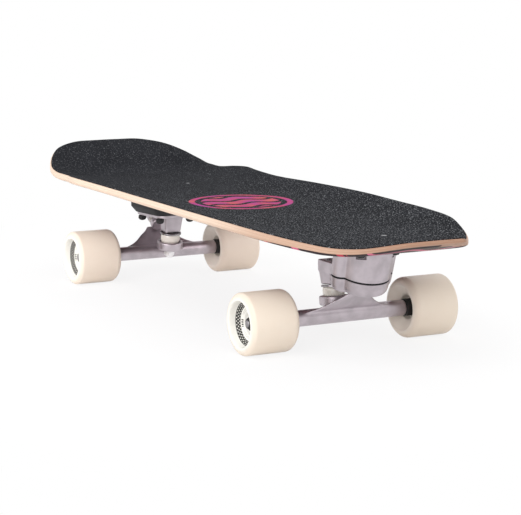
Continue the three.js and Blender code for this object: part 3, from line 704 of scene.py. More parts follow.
@dataclass(frozen=True)
class WheelUrethane(Finish):
    """Cream urethane with painted light that whitens its faces, the outer ones most, with a printed checker
    ring and plain marks on the outer one.
    """

    tread: Colour = (0.83, 0.73, 0.61)
    # Whiter colour painted on the faces as the light falling on them, not the urethane's own
    face: Colour = (0.90, 0.89, 0.83)
    ink: Colour = (0.012, 0.012, 0.010)
    ring_inner: float = 18.3
    ring_outer: float = 22.9
    ring_rows: int = 3
    ring_columns: int = 72
    ring_soft: float = 0.08
    cell: Band = (0.22, 0.78, 0.03)
    border: float = 0.4
    border_soft: float = 0.05
    marks_inner: float = 14.6
    marks_outer: float = 17.2
    marks_soft: float = 0.15
    bars: int = 42
    bar: Band = (0.2, 0.8, 0.05)
    groups: int = 3
    group_start: float = 0.12
    group: Band = (0.05, 0.30, 0.004)
    arcs: tuple[Band, Band] = ((14.9, 15.15, 0.06), (16.2, 16.45, 0.06))
    arc_way: Band = (0.42, 0.9, 0.01)
    arc_share: float = 0.6
    outer_span: Span = (-1, 1)
    # Reach and shares of the light painted on the faces
    lit_face_span: Span = (24.0, 31.0)
    lit_face_share: float = 0.35
    lit_face_outside: float = 0.65
    cloud: float = 11.0
    cloud_span: Span = (0.4, 0.75)
    cloud_share: float = 0.12
    cloud_gloss: float = 0.15
    cloud_depth: float = 0.05
    yellowed: Colour = (0.78, 0.64, 0.50)
    scuffed: Colour = (0.55, 0.47, 0.40)
    scuff: float = 1.4
    scuff_stretch: Point = (1, 1, 0.15)
    scuff_span: Span = (0.64, 0.78)
    scuff_reach: Span = (31, 32.6)
    scuff_share: float = 0.12
    scuff_gloss: float = 0.08
    ink_share: float = 0.96
    ink_gloss: float = 0.3
    roughness: float = 0.42
    specular: float = 0.3

    def ring(self, shader: Shader, radius: Value, turn: Value) -> Value:
        """The checker ring between two thin borders.

        Args:
            shader: The material's nodes.
            radius: Distance from the wheel's axis.
            turn: Turns about that axis, between 0 and 1.

        Returns:
            The ink's mask.
        """
        width = self.ring_outer - self.ring_inner
        outward = (radius - self.ring_inner) * (self.ring_rows / width)
        around = turn * self.ring_columns
        checker = shader.math("PINGPONG", shader.math("FLOOR", outward) + shader.math("FLOOR", around), 1.0)
        cell = [shader.math("FRACT", way).band(*self.cell) for way in (outward, around)]
        checker = shader.math("MAXIMUM", checker, 1 - cell[0] * cell[1])
        inner, outer = self.ring_inner + self.border, self.ring_outer - self.border
        border = 1 - radius.band(inner, outer, self.border_soft)
        inside = radius.band(self.ring_inner, self.ring_outer, self.ring_soft)
        return inside * shader.math("MAXIMUM", checker, border)

    def marks(self, shader: Shader, radius: Value, turn: Value) -> Value:
        """Groups of plain bars and two thin arcs, in the place of words.

        Args:
            shader: The material's nodes.
            radius: Distance from the wheel's axis.
            turn: Turns about that axis, between 0 and 1.

        Returns:
            The ink's mask.
        """
        bars = shader.math("FRACT", turn * self.bars).band(*self.bar)
        part = shader.math("FRACT", turn * self.groups + self.group_start)
        group = part.band(*self.group)
        bars = bars * group * radius.band(self.marks_inner, self.marks_outer, self.marks_soft)
        arcs = radius.band(*self.arcs[0]) + radius.band(*self.arcs[1])
        return shader.math("MAXIMUM", bars, arcs * part.band(*self.arc_way) * self.arc_share)

    def paint(self, shader: Shader) -> None:
        """Adds the wheel's nodes.

        Args:
            shader: The material's nodes.
        """
        point = shader.place()
        x, y, z = shader.split(point)
        radius = shader.math("SQRT", x * x + y * y)
        turn = shader.math("ARCTAN2", y, x) * (1 / (2 * math.pi)) + 0.5
        outer = z.rise(*self.outer_span)
        # Painted light: the faces inside the lip are whitened, the outer faces most
        painted_face_light = (1 - radius.rise(*self.lit_face_span)) * (self.lit_face_share + outer * self.lit_face_outside)
        cloud = shader.noise(point, self.cloud, 3)
        body = shader.mix(painted_face_light, self.tread, self.face)
        body = shader.mix(cloud.rise(*self.cloud_span) * self.cloud_share, body, self.yellowed)
        scuff = shader.noise(shader.stretched(point, self.scuff_stretch), self.scuff, 4)
        scuff = scuff.rise(*self.scuff_span)
        worn = scuff * radius.rise(*self.scuff_reach) * self.scuff_share
        body = shader.mix(worn, body, self.scuffed)
        ink = shader.math("MAXIMUM", self.ring(shader, radius, turn), self.marks(shader, radius, turn))
        roughness = self.roughness + cloud.about(self.cloud_gloss) + scuff * self.scuff_gloss
        shader.finish({
            "Base Color": shader.mix(ink * outer * self.ink_share, body, self.ink),
            "Roughness": roughness + ink * outer * self.ink_gloss,
            "Specular IOR Level": self.specular,
            "Normal": shader.bump(cloud, self.cloud_depth),
        })


CAST = Metal("cast_aluminium", (0.50, 0.45, 0.48), 0.42, metallic=0.92, grain=0.7, grain_depth=0.035)
PLATED = Metal("plated_steel", (0.62, 0.60, 0.61), 0.22, grain=0.5, grain_depth=0.012)
ZINC = Metal("zinc_steel", (0.80, 0.78, 0.79), 0.36, grain=0.5, grain_depth=0.012)
AXLE = Metal("axle_steel", (0.30, 0.29, 0.30), 0.4, grain=0.5, grain_depth=0.012)
BLACKENED = Moulded("blackened_steel", (0.011, 0.011, 0.012), 0.6, grain=0.35, dusting=0.02)
SPRING = Metal("spring_steel", (0.20, 0.20, 0.22), 0.32, grain=0.4, grain_depth=0.01)
PLASTIC = Moulded("black_plastic", (0.008, 0.008, 0.010), 0.7, dusting=0.02)
# Black for the ring in the seam: painted shade that darkens the seam line
SEAM_SHADE_RUBBER = Moulded("seal_rubber", (0.006, 0.006, 0.007), 0.85, dusting=0.02)
# Dark polished steel for the cupped washers
DARK_WASHER = Metal("oiled_washer", (0.30, 0.28, 0.29), 0.16, grain=0.5, grain_depth=0.01)
SHIELD = Moulded("bearing_shield", (0.02, 0.02, 0.022), 0.4, dusting=0.03)
BUSHING = Moulded("bushing_urethane", (0.86, 0.82, 0.74), 0.16, coat=0.5, dusting=0.04)
GRIP = Grip("grip")
PRINT = UndersidePrint("maple_underside")
EDGE = PlyEdge("maple_edge", PRINT)
WHEEL = WheelUrethane("wheel_urethane")


# Shapes


def circle(radius: float, height: float, sides: int = SIDES) -> Ring:
    """Points of a circle about Z."""
    turns = [2 * math.pi * k / sides for k in range(sides)]
    return [Vector((radius * math.cos(turn), radius * math.sin(turn), height)) for turn in turns]


def hexagon(flats: float, height: float, cap: float, sides: int = SIDES) -> Ring:
    """Points of a hexagon about Z, its corners turned down to a radius.

    Args:
        flats: Width across the flats.
        height: Place along Z.
        cap: Radius that no point passes.
        sides: Number of points.

    Returns:
        The ring.
    """
    ring = []
    for k in range(sides):
        turn = 2 * math.pi * k / sides
        bend = (turn + math.pi / 6) % (math.pi / 3) - math.pi / 6
        reach = min(flats / 2 / math.cos(bend), cap)
        ring.append(Vector((reach * math.cos(turn), reach * math.sin(turn), height)))
    return ring


def rounded_box(
    half_length: float, half_width: float, corner: float, height: float, steps: int = 6,
) -> Ring:
    """Points of a rectangle with round corners.

    Args:
        half_length: Half its size along X.
        half_width: Half its size along Y.
        corner: Radius of its corners.
        height: Place along Z.
        steps: Points on each corner.

    Returns:
        The ring.
    """
    ring = []
    for quarter, (x, y) in enumerate(((1, 1), (-1, 1), (-1, -1), (1, -1))):
        for k in range(steps + 1):
            turn = (quarter + k / steps) * math.pi / 2
            ring.append(Vector((
                x * (half_length - corner) + corner * math.cos(turn),
                y * (half_width - corner) + corner * math.sin(turn),
                height,
            )))
    return ring


def slab(reach: float, low: float, high: float, corner: float = 1) -> list[Ring]:
    """Rings of a square block that takes away all between two heights."""
    return [rounded_box(reach, reach, corner, height) for height in (low, high)]


def eased(profile: Profile, radius: float, steps: int = 4, side_share: float = 0.45) -> Profile:
    """A profile with its inner corners rounded.

    Args:
        profile: Corners as pairs.
        radius: Length taken from each side of a corner, less where a side is short.
        steps: Points on each round.
        side_share: Largest share of a side that a round may take.

    Returns:
        The rounded profile.
    """
    corners = [Vector(corner) for corner in profile]
    made = [profile[0]]
    for before, corner, after in zip(corners, corners[1:], corners[2:]):
        sides = [(end - corner) for end in (before, after)]
        starts = [corner + side * (min(radius, side.length * side_share) / side.length) for side in sides]
        for k in range(steps + 1):
            share = k / steps
            point = starts[0].lerp(corner, share).lerp(corner.lerp(starts[1], share), share)
            made.append((point.x, point.y))
    return [*made, profile[-1]]


def through(points: Profile, steps: int) -> Profile:
    """A centripetal Catmull-Rom curve through points in a plane.

    Args:
        points: What the curve passes, with one guide point before its start and one after its end.
        steps: Points on each span.

    Returns:
        The curve's points.
    """
    made = []
    knots = [Vector(point) for point in points]
    for four in zip(knots, knots[1:], knots[2:], knots[3:]):
        times = [0.0]
        for start, end in zip(four, four[1:]):
            times.append(times[-1] + max((end - start).length, WELD_MM) ** 0.5)
        for k in range(steps):
            time = times[1] + (times[2] - times[1]) * k / steps
            level = list(four)
            for spans in CURVE_SPANS:
                shares = [(time - times[a]) / (times[b] - times[a]) for a, b in spans]
                level = [low.lerp(high, share) for low, high, share in zip(level, level[1:], shares)]
            made.append((level[0].x, level[0].y))
    made.append((knots[-2].x, knots[-2].y))
    return made


class Form:
    """Points and faces in millimetres that become one mesh."""

    def __init__(self) -> None:
        """An empty form."""
        self.points: list[Vector] = []
        self.faces: list[tuple[int, ...]] = []
        self.tones: list[int] = []
        self.tone = 0

    def face(self, *corners: int) -> None:
        """Adds one face in the present tone."""
        self.faces.append(corners)
        self.tones.append(self.tone)

    def skin(self, rings: Sequence[Ring], place: Matrix = Matrix(), closed: bool = False) -> "Form":
        """Adds a skin over rings that follow each other.

        Args:
            rings: Rings with the same number of points.
            place: Where they go.
            closed: True to join the last ring to the first, False to close both ends.

        Returns:
            The form itself.
        """
        base, count = len(self.points), len(rings[0])
        self.points += [place @ point for ring in rings for point in ring]
        for number in range(len(rings) - (0 if closed else 1)):
            low = base + number * count
            high = base + (number + 1) % len(rings) * count
            for k in range(count):
                after = (k + 1) % count
                self.face(low + k, low + after, high + after, high + k)
        if not closed:
            last = base + (len(rings) - 1) * count
            self.face(*range(base, base + count))
            self.face(*range(last, last + count))
        return self

    def lathe(self, profile: Profile, place: Matrix = Matrix(), sides: int = SIDES) -> "Form":
        """Adds a turned solid about Z.

        Args:
            profile: Radius and height pairs; where it ends as it starts it is a ring.
            place: Where it goes.
            sides: Points round it.

        Returns:
            The form itself.
        """
        closed = profile[0] == profile[-1]
        pairs = profile[:-1] if closed else profile
        return self.skin([circle(radius, height, sides) for radius, height in pairs], place, closed)

    def rod(
        self, radius: float, low: float, high: float, place: Matrix = Matrix(), ease: float = 0,
    ) -> "Form":
        """Adds a round bar about Z.

        Args:
            radius: Its radius.
            low: Where it starts.
            high: Where it ends.
            place: Where it goes.
            ease: Rounding of its rims.

        Returns:
            The form itself.
        """
        profile = [(0, low), (radius, low), (radius, high), (0, high)]
        return self.lathe(eased(profile, ease) if ease else profile, place)

    def ring(
        self, hole: float, start: tuple[float, float], end: tuple[float, float], ease: float = 0,
        sides: int = SIDES,
    ) -> "Form":
        """Adds a ring about Z, straight or tapered.

        Args:
            hole: Radius of its hole.
            start: Outer radius and height of one face.
            end: Outer radius and height of the other face.
            ease: Rounding of its rims.
            sides: Points round it.

        Returns:
            The form itself.
        """
        profile = [(hole, start[1]), start, end, (hole, end[1]), (hole, start[1])]
        return self.lathe(eased(profile, ease) if ease else profile, sides=sides)

    def nut(self, flats: float, hole: float, low: float, high: float) -> "Form":
        """Adds a hexagonal nut about Z, chamfered at both faces.

        Args:
            flats: Width across its flats.
            hole: Radius of its hole.
            low: Where it starts.
            high: Where it ends.

        Returns:
            The form itself.
        """
        cap_share, chamfer_share, mouth = 0.485, 0.06, 0.4
        cap, chamfer = flats * cap_share, flats * chamfer_share
        rings = [hexagon(flats, low, cap), hexagon(flats, low + chamfer, flats),
                 hexagon(flats, high - chamfer, flats), hexagon(flats, high, cap),
                 circle(hole + mouth, high), circle(hole, high - mouth),
                 circle(hole, low + mouth), circle(hole + mouth, low)]
        return self.skin(rings, closed=True)

    def sweep(self, path: Sequence[Vector], radius: float, sides: int = 12) -> "Form":
        """Adds a round bar along a path.

        Args:
            path: The middle of the bar.
            radius: Its radius.
            sides: Points round it.

        Returns:
            The form itself.
        """
        rings = []
        pairs = zip(path[:1] + path[:-1], path[1:] + path[-1:])
        ways = [(after - before).normalized() for before, after in pairs]
        normal = ways[0].orthogonal().normalized()
        for point, way in zip(path, ways, strict=True):
            normal = (normal - way * normal.dot(way)).normalized()
            other = way.cross(normal)
            turns = [2 * math.pi * k / sides for k in range(sides)]
            rings.append([point + normal * (radius * math.cos(turn)) + other * (radius * math.sin(turn))
                          for turn in turns])
        return self.skin(rings)

    def mesh(self, name: str, *finishes: Finish) -> bpy.types.Mesh:
        """Turns the form into a mesh in metres, smooth with sharp corners.

        Args:
            name: The mesh's name.
            finishes: Its materials, by tone.

        Returns:
            The mesh.
        """
        mesh = bpy.data.meshes.new(name)
        mesh.from_pydata([point * METRES_PER_MM for point in self.points], [], self.faces)
        mesh.polygons.foreach_set("material_index", self.tones)
        for finish in finishes:
            mesh.materials.append(finish.material())
        weld(mesh)
        return mesh


def weld(mesh: bpy.types.Mesh) -> None:
    """Joins points that fall together, turns faces outwards and sets smooth and sharp edges.

    Args:
        mesh: The mesh.
    """
    work = bmesh.new()
    work.from_mesh(mesh)
    bmesh.ops.remove_doubles(work, verts=work.verts, dist=WELD_MM * METRES_PER_MM)
    bmesh.ops.dissolve_degenerate(work, edges=work.edges, dist=DEGENERATE_MM * METRES_PER_MM)
    bmesh.ops.recalc_face_normals(work, faces=work.faces)
    work.to_mesh(mesh)
    work.free()
    soften(mesh)


def soften(mesh: bpy.types.Mesh) -> None:
    """Shades a mesh smooth, with sharp edges where it turns a corner."""
    mesh.shade_smooth()
    mesh.set_sharp_from_angle(angle=SHARP_ANGLE)


def in_metres(place: Matrix) -> Matrix:
    """A place in millimetres as one in metres.

    Args:
        place: The place, in millimetres.

    Returns:
        The place, in metres.
    """
    made = place.copy()
    made.translation *= METRES_PER_MM
    return made


def added(name: str, data: bpy.types.ID) -> bpy.types.Object:
    """A new object of the scene, with a mesh, a lamp or a camera in it.

    Args:
        name: The object's name.
        data: What it holds.

    Returns:
        The object.
    """
    made = bpy.data.objects.new(name, data)
    bpy.context.scene.collection.objects.link(made)
    return made


def aim(lamp: bpy.types.Object, way: Vector) -> None:
    """Turns a lamp so that it shines along a way."""
    lamp.rotation_mode = "QUATERNION"
    lamp.rotation_quaternion = way.to_track_quat("-Z", "Y")


def show(mesh: bpy.types.Mesh, name: str, body: Body | str, slot: Slot, place: Matrix, *nodes: str) -> None:
    """Puts a mesh into the scene as a piece of the board.

    Args:
        mesh: The mesh.
        name: The piece's name.
        body: The body that it rides on.
        slot: The material slot of its finish; not used.
        place: Where it goes, in millimetres.
        nodes: The frame's nodes that it stands for.
    """
    piece = added(name, mesh)
    piece.matrix_world = in_metres(place)
    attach(piece, body.value if isinstance(body, Body) else body)
    if nodes:
        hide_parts(*nodes)
    log.info("piece %s rides %s with %d faces", name, body, len(mesh.polygons))


@dataclass(frozen=True)
class Foundry:
    """Casts overlapping shapes into one body with soft fillets, then machines it."""

    voxel: float = 0.85
    smoothing: int = 8
    softness: float = 0.5

    def cast(self, name: str, body: Form, cuts: Form, finish: Finish) -> bpy.types.Mesh:
        """Makes one casting.

        Args:
            name: The mesh's name.
            body: Overlapping closed shapes.
            cuts: Closed shapes to take away, none of which overlap.
            finish: The casting's finish.

        Returns:
            The mesh.
        """
        blank = added(f"{name}_blank", body.mesh(f"{name}_blank"))
        skin = blank.modifiers.new("skin", "REMESH")
        skin.mode = "VOXEL"
        skin.voxel_size = self.voxel * METRES_PER_MM
        soft = blank.modifiers.new("soft", "SMOOTH")
        soft.factor = self.softness
        soft.iterations = self.smoothing
        tools = added(f"{name}_tools", cuts.mesh(f"{name}_tools"))
        machined = blank.modifiers.new("machined", "BOOLEAN")
        machined.operation = "DIFFERENCE"
        machined.solver = "EXACT"
        machined.use_self = True
        machined.object = tools
        graph = bpy.context.evaluated_depsgraph_get()
        mesh = bpy.data.meshes.new_from_object(blank.evaluated_get(graph))
        mesh.name = name
        mesh.materials.clear()
        mesh.materials.append(finish.material())
        soften(mesh)
        for loose in (blank, tools):
            bpy.data.objects.remove(loose)
        return mesh


# Board


@dataclass(frozen=True)
class Deck:
    """The pressed deck and the grip sheet on it."""

    length: float = 809.4
    width: float = 250.0
    thickness: float = 8.6
    underside: float = 113.39
    flat_width: float = 90.0
    concave: float = 13.0
    kick_run: float = 102.0
    kick_radius: float = 120.0
    kick_degrees: float = 25.5
    nose_run: float = 80.0
    nose_radius: float = 200.0
    nose_degrees: float = 15.0
    strips: int = 20
    steps: int = 9
    roll_height: float = 2.0
    roll_from: float = 325.0
    roll_to: float = 395.0
    roll_inset: float = 4.5
    roll_lift: float = 3.0
    tip_from: float = 330.0
    tip_inset: float = 0.9
    plan_shares: Profile = (
        (-1, 0.11), (-0.995, 0.39), (-0.961, 0.606), (-0.902, 0.76), (-0.828, 0.862), (-0.748, 0.873),
        (-0.674, 0.872), (-0.619, 0.94), (-0.553, 0.981), (-0.466, 0.958), (-0.321, 0.938), (-0.103, 0.976),
        (0.15, 1), (0.347, 0.984), (0.507, 0.968), (0.641, 0.92), (0.74, 0.805), (0.813, 0.694),
        (0.862, 0.594), (0.899, 0.503), (0.931, 0.426), (0.956, 0.368), (0.975, 0.32), (0.99, 0.27),
        (1, 0.06),
    )
    edge: Profile = (
        (2.6, 0.0), (1.5, 0.2), (0.7, 0.8), (0.2, 1.6), (0.0, 2.6), (0.0, 4.4), (0.0, 6.0), (0.15, 7.0),
        (0.5, 7.8), (1.0, 8.3), (1.8, 8.6),
    )
    sheet: Profile = ((1.7, 8.55), (1.7, 9.5), (1.85, 9.8), (2.15, 9.9))

    def outline(self) -> Profile:
        """The left half of the deck's plan, from the tip of the tail to that of the nose.

        Returns:
            Its points.
        """
        knots = [(along * self.length / 2, across * self.width / 2) for along, across in self.plan_shares]
        tail, nose = knots[0], knots[-1]
        guides = [(knots[1][0], -knots[1][1]), (tail[0], -tail[1]), *knots, (nose[0], -nose[1]),
                  (knots[-2][0], -knots[-2][1])]
        curve = through(guides, 2 * self.steps)
        inner = curve[self.steps:-self.steps]
        middle = inner[self.steps:-self.steps][::2]
        ends = inner[:self.steps], inner[-self.steps:]
        points = [*ends[0], *middle, *ends[1]]
        return [(points[0][0], 0.0), *points[1:-1], (points[-1][0], 0.0)]

    @staticmethod
    def bend(run: float, radius: float, degrees: float) -> float:
        """Rise of a surface that bends up to a slope and goes on straight.

        Args:
            run: Way from where the bend starts.
            radius: Radius of the bend.
            degrees: The slope that it reaches.

        Returns:
            The rise.
        """
        arc = radius * math.sin(math.radians(degrees))
        curved = min(max(run, 0), arc)
        straight = max(run - arc, 0) * math.tan(math.radians(degrees))
        return radius - math.sqrt(radius ** 2 - curved ** 2) + straight

    def low(self, x: float, y: float) -> float:
        """Height of the underside.

        Args:
            x: Place along the board.
            y: Place across the board.

        Returns:
            The height.
        """
        kick = self.bend(self.kick_run - self.length / 2 - x, self.kick_radius, self.kick_degrees)
        nose = self.bend(x + self.nose_run - self.length / 2, self.nose_radius, self.nose_degrees)
        outside = max(abs(y) - self.flat_width / 2, 0) / (self.width / 2 - self.flat_width / 2)
        return self.underside + kick + nose + self.concave * outside ** 2

    def stretch(self, x: float) -> float:
        """Upright thickness of the deck for each unit of its real thickness.

        Args:
            x: Place along the board.

        Returns:
            The ratio.
        """
        step = 0.5
        slope = (self.low(x + step, 0) - self.low(x - step, 0)) / (2 * step)
        return math.sqrt(1 + slope ** 2)

    def rolled(self, edge: Profile, x: float) -> Profile:
        """An edge at one place along the deck: both its rounds grow to the nose.

        Args:
            edge: Insets and heights of the edge.
            x: The place along the deck.

        Returns:
            The insets and heights there.
        """
        share = min(max((x - self.roll_from) / (self.roll_to - self.roll_from), 0), 1)
        tip = min(max((x - self.tip_from) / (self.length / 2 - self.tip_from), 0), 1)
        made = []
        for inset, height in edge:
            low, high = height < self.roll_height, height > self.thickness - self.roll_height
            wider = 1 + (self.roll_inset * share if low else self.tip_inset * tip if high else 0)
            lift = self.roll_lift * share * max(1 - height / self.thickness, 0)
            made.append((inset * wider, height + lift))
        return made

    def layer(self, edge: Profile) -> tuple[Form, list[float], list[float]]:
        """A layer of the deck whose edge follows the plan.

        Args:
            edge: Insets and heights of its edge, from its lower to its upper face.

        Returns:
            The form, and for each of its points the way along the edge and the height.
        """
        outline = [Vector(point) for point in self.outline()]
        pairs = zip(outline[:1] + outline, outline[1:] + outline[-1:])
        ways = [(after - before).normalized() for before, after in pairs]
        ways[0], ways[-1] = Vector((0, 1)), Vector((0, -1))
        rings, along, heights, gone = [], [], [], 0.0
        for number, (point, way) in enumerate(zip(outline, ways, strict=True)):
            gone += (point - outline[max(number - 1, 0)]).length
            inward = Vector((way.y, -way.x))
            side = [(point + inward * inset, height) for inset, height in self.rolled(edge, point.x)]
            low, high = side[0], side[-1]
            flat = [(Vector((low[0].x, low[0].y * (2 * k / self.strips - 1))), low[1])
                    for k in range(self.strips)]
            top = [(Vector((high[0].x, high[0].y * (1 - 2 * k / self.strips))), high[1])
                   for k in range(1, self.strips)]
            far = [(Vector((spot.x, -spot.y)), height) for spot, height in reversed(side)]
            section = [*flat, *side, *top, *far[:-1]]
            rings.append([Vector((spot.x, spot.y, self.low(spot.x, spot.y) + height * self.stretch(spot.x)))
                          for spot, height in section])
            along += [gone] * len(section)
            heights += [height for _, height in section]
        form = Form().skin(rings)
        del form.faces[-2:], form.tones[-2:]
        return form, along, heights

    def build_deck(self) -> None:
        """Makes the deck, with the way along the edge and the height as its UVs."""
        form, along, heights = self.layer(self.edge)
        count = 2 * self.strips + 2 * len(self.edge) - 2
        form.tones = [1 if number % count < self.strips else 0 for number in range(len(form.tones))]
        mesh = bpy.data.meshes.new("deck_shape")
        mesh.from_pydata([point * METRES_PER_MM for point in form.points], [], form.faces)
        mesh.polygons.foreach_set("material_index", form.tones)
        for finish in (EDGE, PRINT):
            mesh.materials.append(finish.material())
        layer = mesh.uv_layers.new(name="edge_way")
        for loop in mesh.loops:
            place = loop.vertex_index
            layer.data[loop.index].uv = (along[place], heights[place] / self.thickness)
        weld(mesh)
        show(mesh, "maple_deck", Body.BOARD, Slot.MAPLE, Matrix(), "deck")

    def build_grip(self) -> None:
        """Makes the grip sheet."""
        form, _, _ = self.layer(self.sheet)
        show(form.mesh("grip_sheet", GRIP), "grip_sheet", Body.BOARD, Slot.GRIP, Matrix(), "grip_tape")

    def build(self) -> None:
        """Makes both layers."""
        self.build_deck()
        self.build_grip()


@dataclass(frozen=True)
class DeckBolts:
    """Eight countersunk bolts and their lock nuts."""

    top: float = 123.3
    shank: float = 2.4
    head: float = 4.8
    head_depth: float = 3.0
    dome: float = 0.2
    rim_land: float = 0.3
    rim_ease: float = 0.15
    dome_reach: float = 1.2
    dome_dip: float = 0.06
    shank_chamfer: float = 0.5
    socket_flats: float = 3.2
    socket_depth: float = 1.8
    socket_cone: float = 0.5
    socket_mouth: float = 0.5
    socket_mouth_depth: float = 0.3
    along: float = 53.5
    across: float = 41.3
    nut_flats: float = 9.5
    nut_gap: float = 0.3
    collar_height: float = 1.3
    collar_overlap: float = 0.2
    collar_root_share: float = 0.47
    collar_end_share: float = 0.40
    collar_ease: float = 0.4
    tip: float = 0.6
    centres: tuple[tuple[End, float, float], ...] = ((End.FRONT, 269.1, 4.0), (End.REAR, -213.9, 5.5))

    def bolt(self, tip: float) -> Form:
        """One bolt with a hexagonal socket, from its tip to the top of its head.

        Args:
            tip: Height of its end.

        Returns:
            The form.
        """
        top, rim = self.top, self.top - self.dome
        flats, floor = self.socket_flats, self.top - self.socket_depth
        rings = [circle(0, tip), circle(self.shank - self.shank_chamfer, tip),
                 circle(self.shank, tip + self.shank_chamfer), circle(self.shank, top - self.head_depth),
                 circle(self.head, rim - self.rim_land), circle(self.head - self.rim_ease, rim),
                 circle(self.head - self.dome_reach, top - self.dome_dip),
                 hexagon(flats + self.socket_mouth, top, flats),
                 hexagon(flats, top - self.socket_mouth_depth, flats),
                 hexagon(flats, floor, flats), circle(0, floor - self.socket_cone)]
        return Form().skin(rings)

    def nut(self, low: float, height: float) -> Form:
        """One lock nut with its collar below.

        Args:
            low: Where its collar ends.
            height: Its whole height.

        Returns:
            The form.
        """
        hole, hexagon_low = self.shank + self.nut_gap, low + self.collar_height
        root = hexagon_low + self.collar_overlap
        nut = Form().nut(self.nut_flats, hole, hexagon_low, low + height)
        return nut.ring(hole, (self.nut_flats * self.collar_root_share, root),
                        (self.nut_flats * self.collar_end_share, low), self.collar_ease)

    def build(self) -> None:
        """Makes every bolt and nut where the frame has it."""
        for end, centre, height in self.centres:
            for way, word in ((1, "nose"), (-1, "tail")):
                for side in Side:
                    node = f"{end.value}_{word}_{side.word}_bolt"
                    place = moved(centre + way * self.along / 2, side.value * self.across / 2)
                    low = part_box(f"{node}_nut")[0].z / METRES_PER_MM
                    bolt = self.bolt(low - self.tip).mesh(f"{node}_shape", BLACKENED)
                    nut = self.nut(low, height).mesh(f"{node}_nut_shape", BLACKENED)
                    show(bolt, f"{node}_turned", Body.BOARD, Slot.BLACK_STEEL, place, node)
                    show(nut, f"{node}_lock_nut", Body.BOARD, Slot.BLACK_STEEL, place, f"{node}_nut")


# Trucks


@dataclass(frozen=True)
class TruckPlan:
    """Sizes that both trucks share, measured from the axle with the pivot towards +X."""

    axle_height: float = 32.79
    front_x: float = 230.1
    rear_x: float = -223.9
    track: float = 195.5
    ring_place: tuple[float, float] = (-21, 10)
    ring_lean: float = -8
    pivot_place: tuple[float, float] = (27, 41)

    @property
    def kingpin(self) -> Matrix:
        """The kingpin's frame, from the middle of the hanger's ring."""
        return leaning(*self.ring_place, self.ring_lean)

    @property
    def pivot(self) -> Matrix:
        """The pivot's frame, which leans along the line from the ring to the pivot."""
        run, rise = (end - start for start, end in zip(self.ring_place, self.pivot_place, strict=True))
        return leaning(*self.pivot_place, math.degrees(math.atan2(run, rise)))

    @property
    def across(self) -> Matrix:
        """The axle's frame, with Z across the board."""
        return turned(90, "X")

    def place(self, end: End) -> Matrix:
        """Where a truck's axle is, and the way it faces.

        Args:
            end: Which truck.

        Returns:
            The axle's frame.
        """
        if end is End.FRONT:
            return moved(self.front_x, 0, self.axle_height)
        return moved(self.rear_x, 0, self.axle_height) @ turned(180, "Z")


PLAN = TruckPlan()


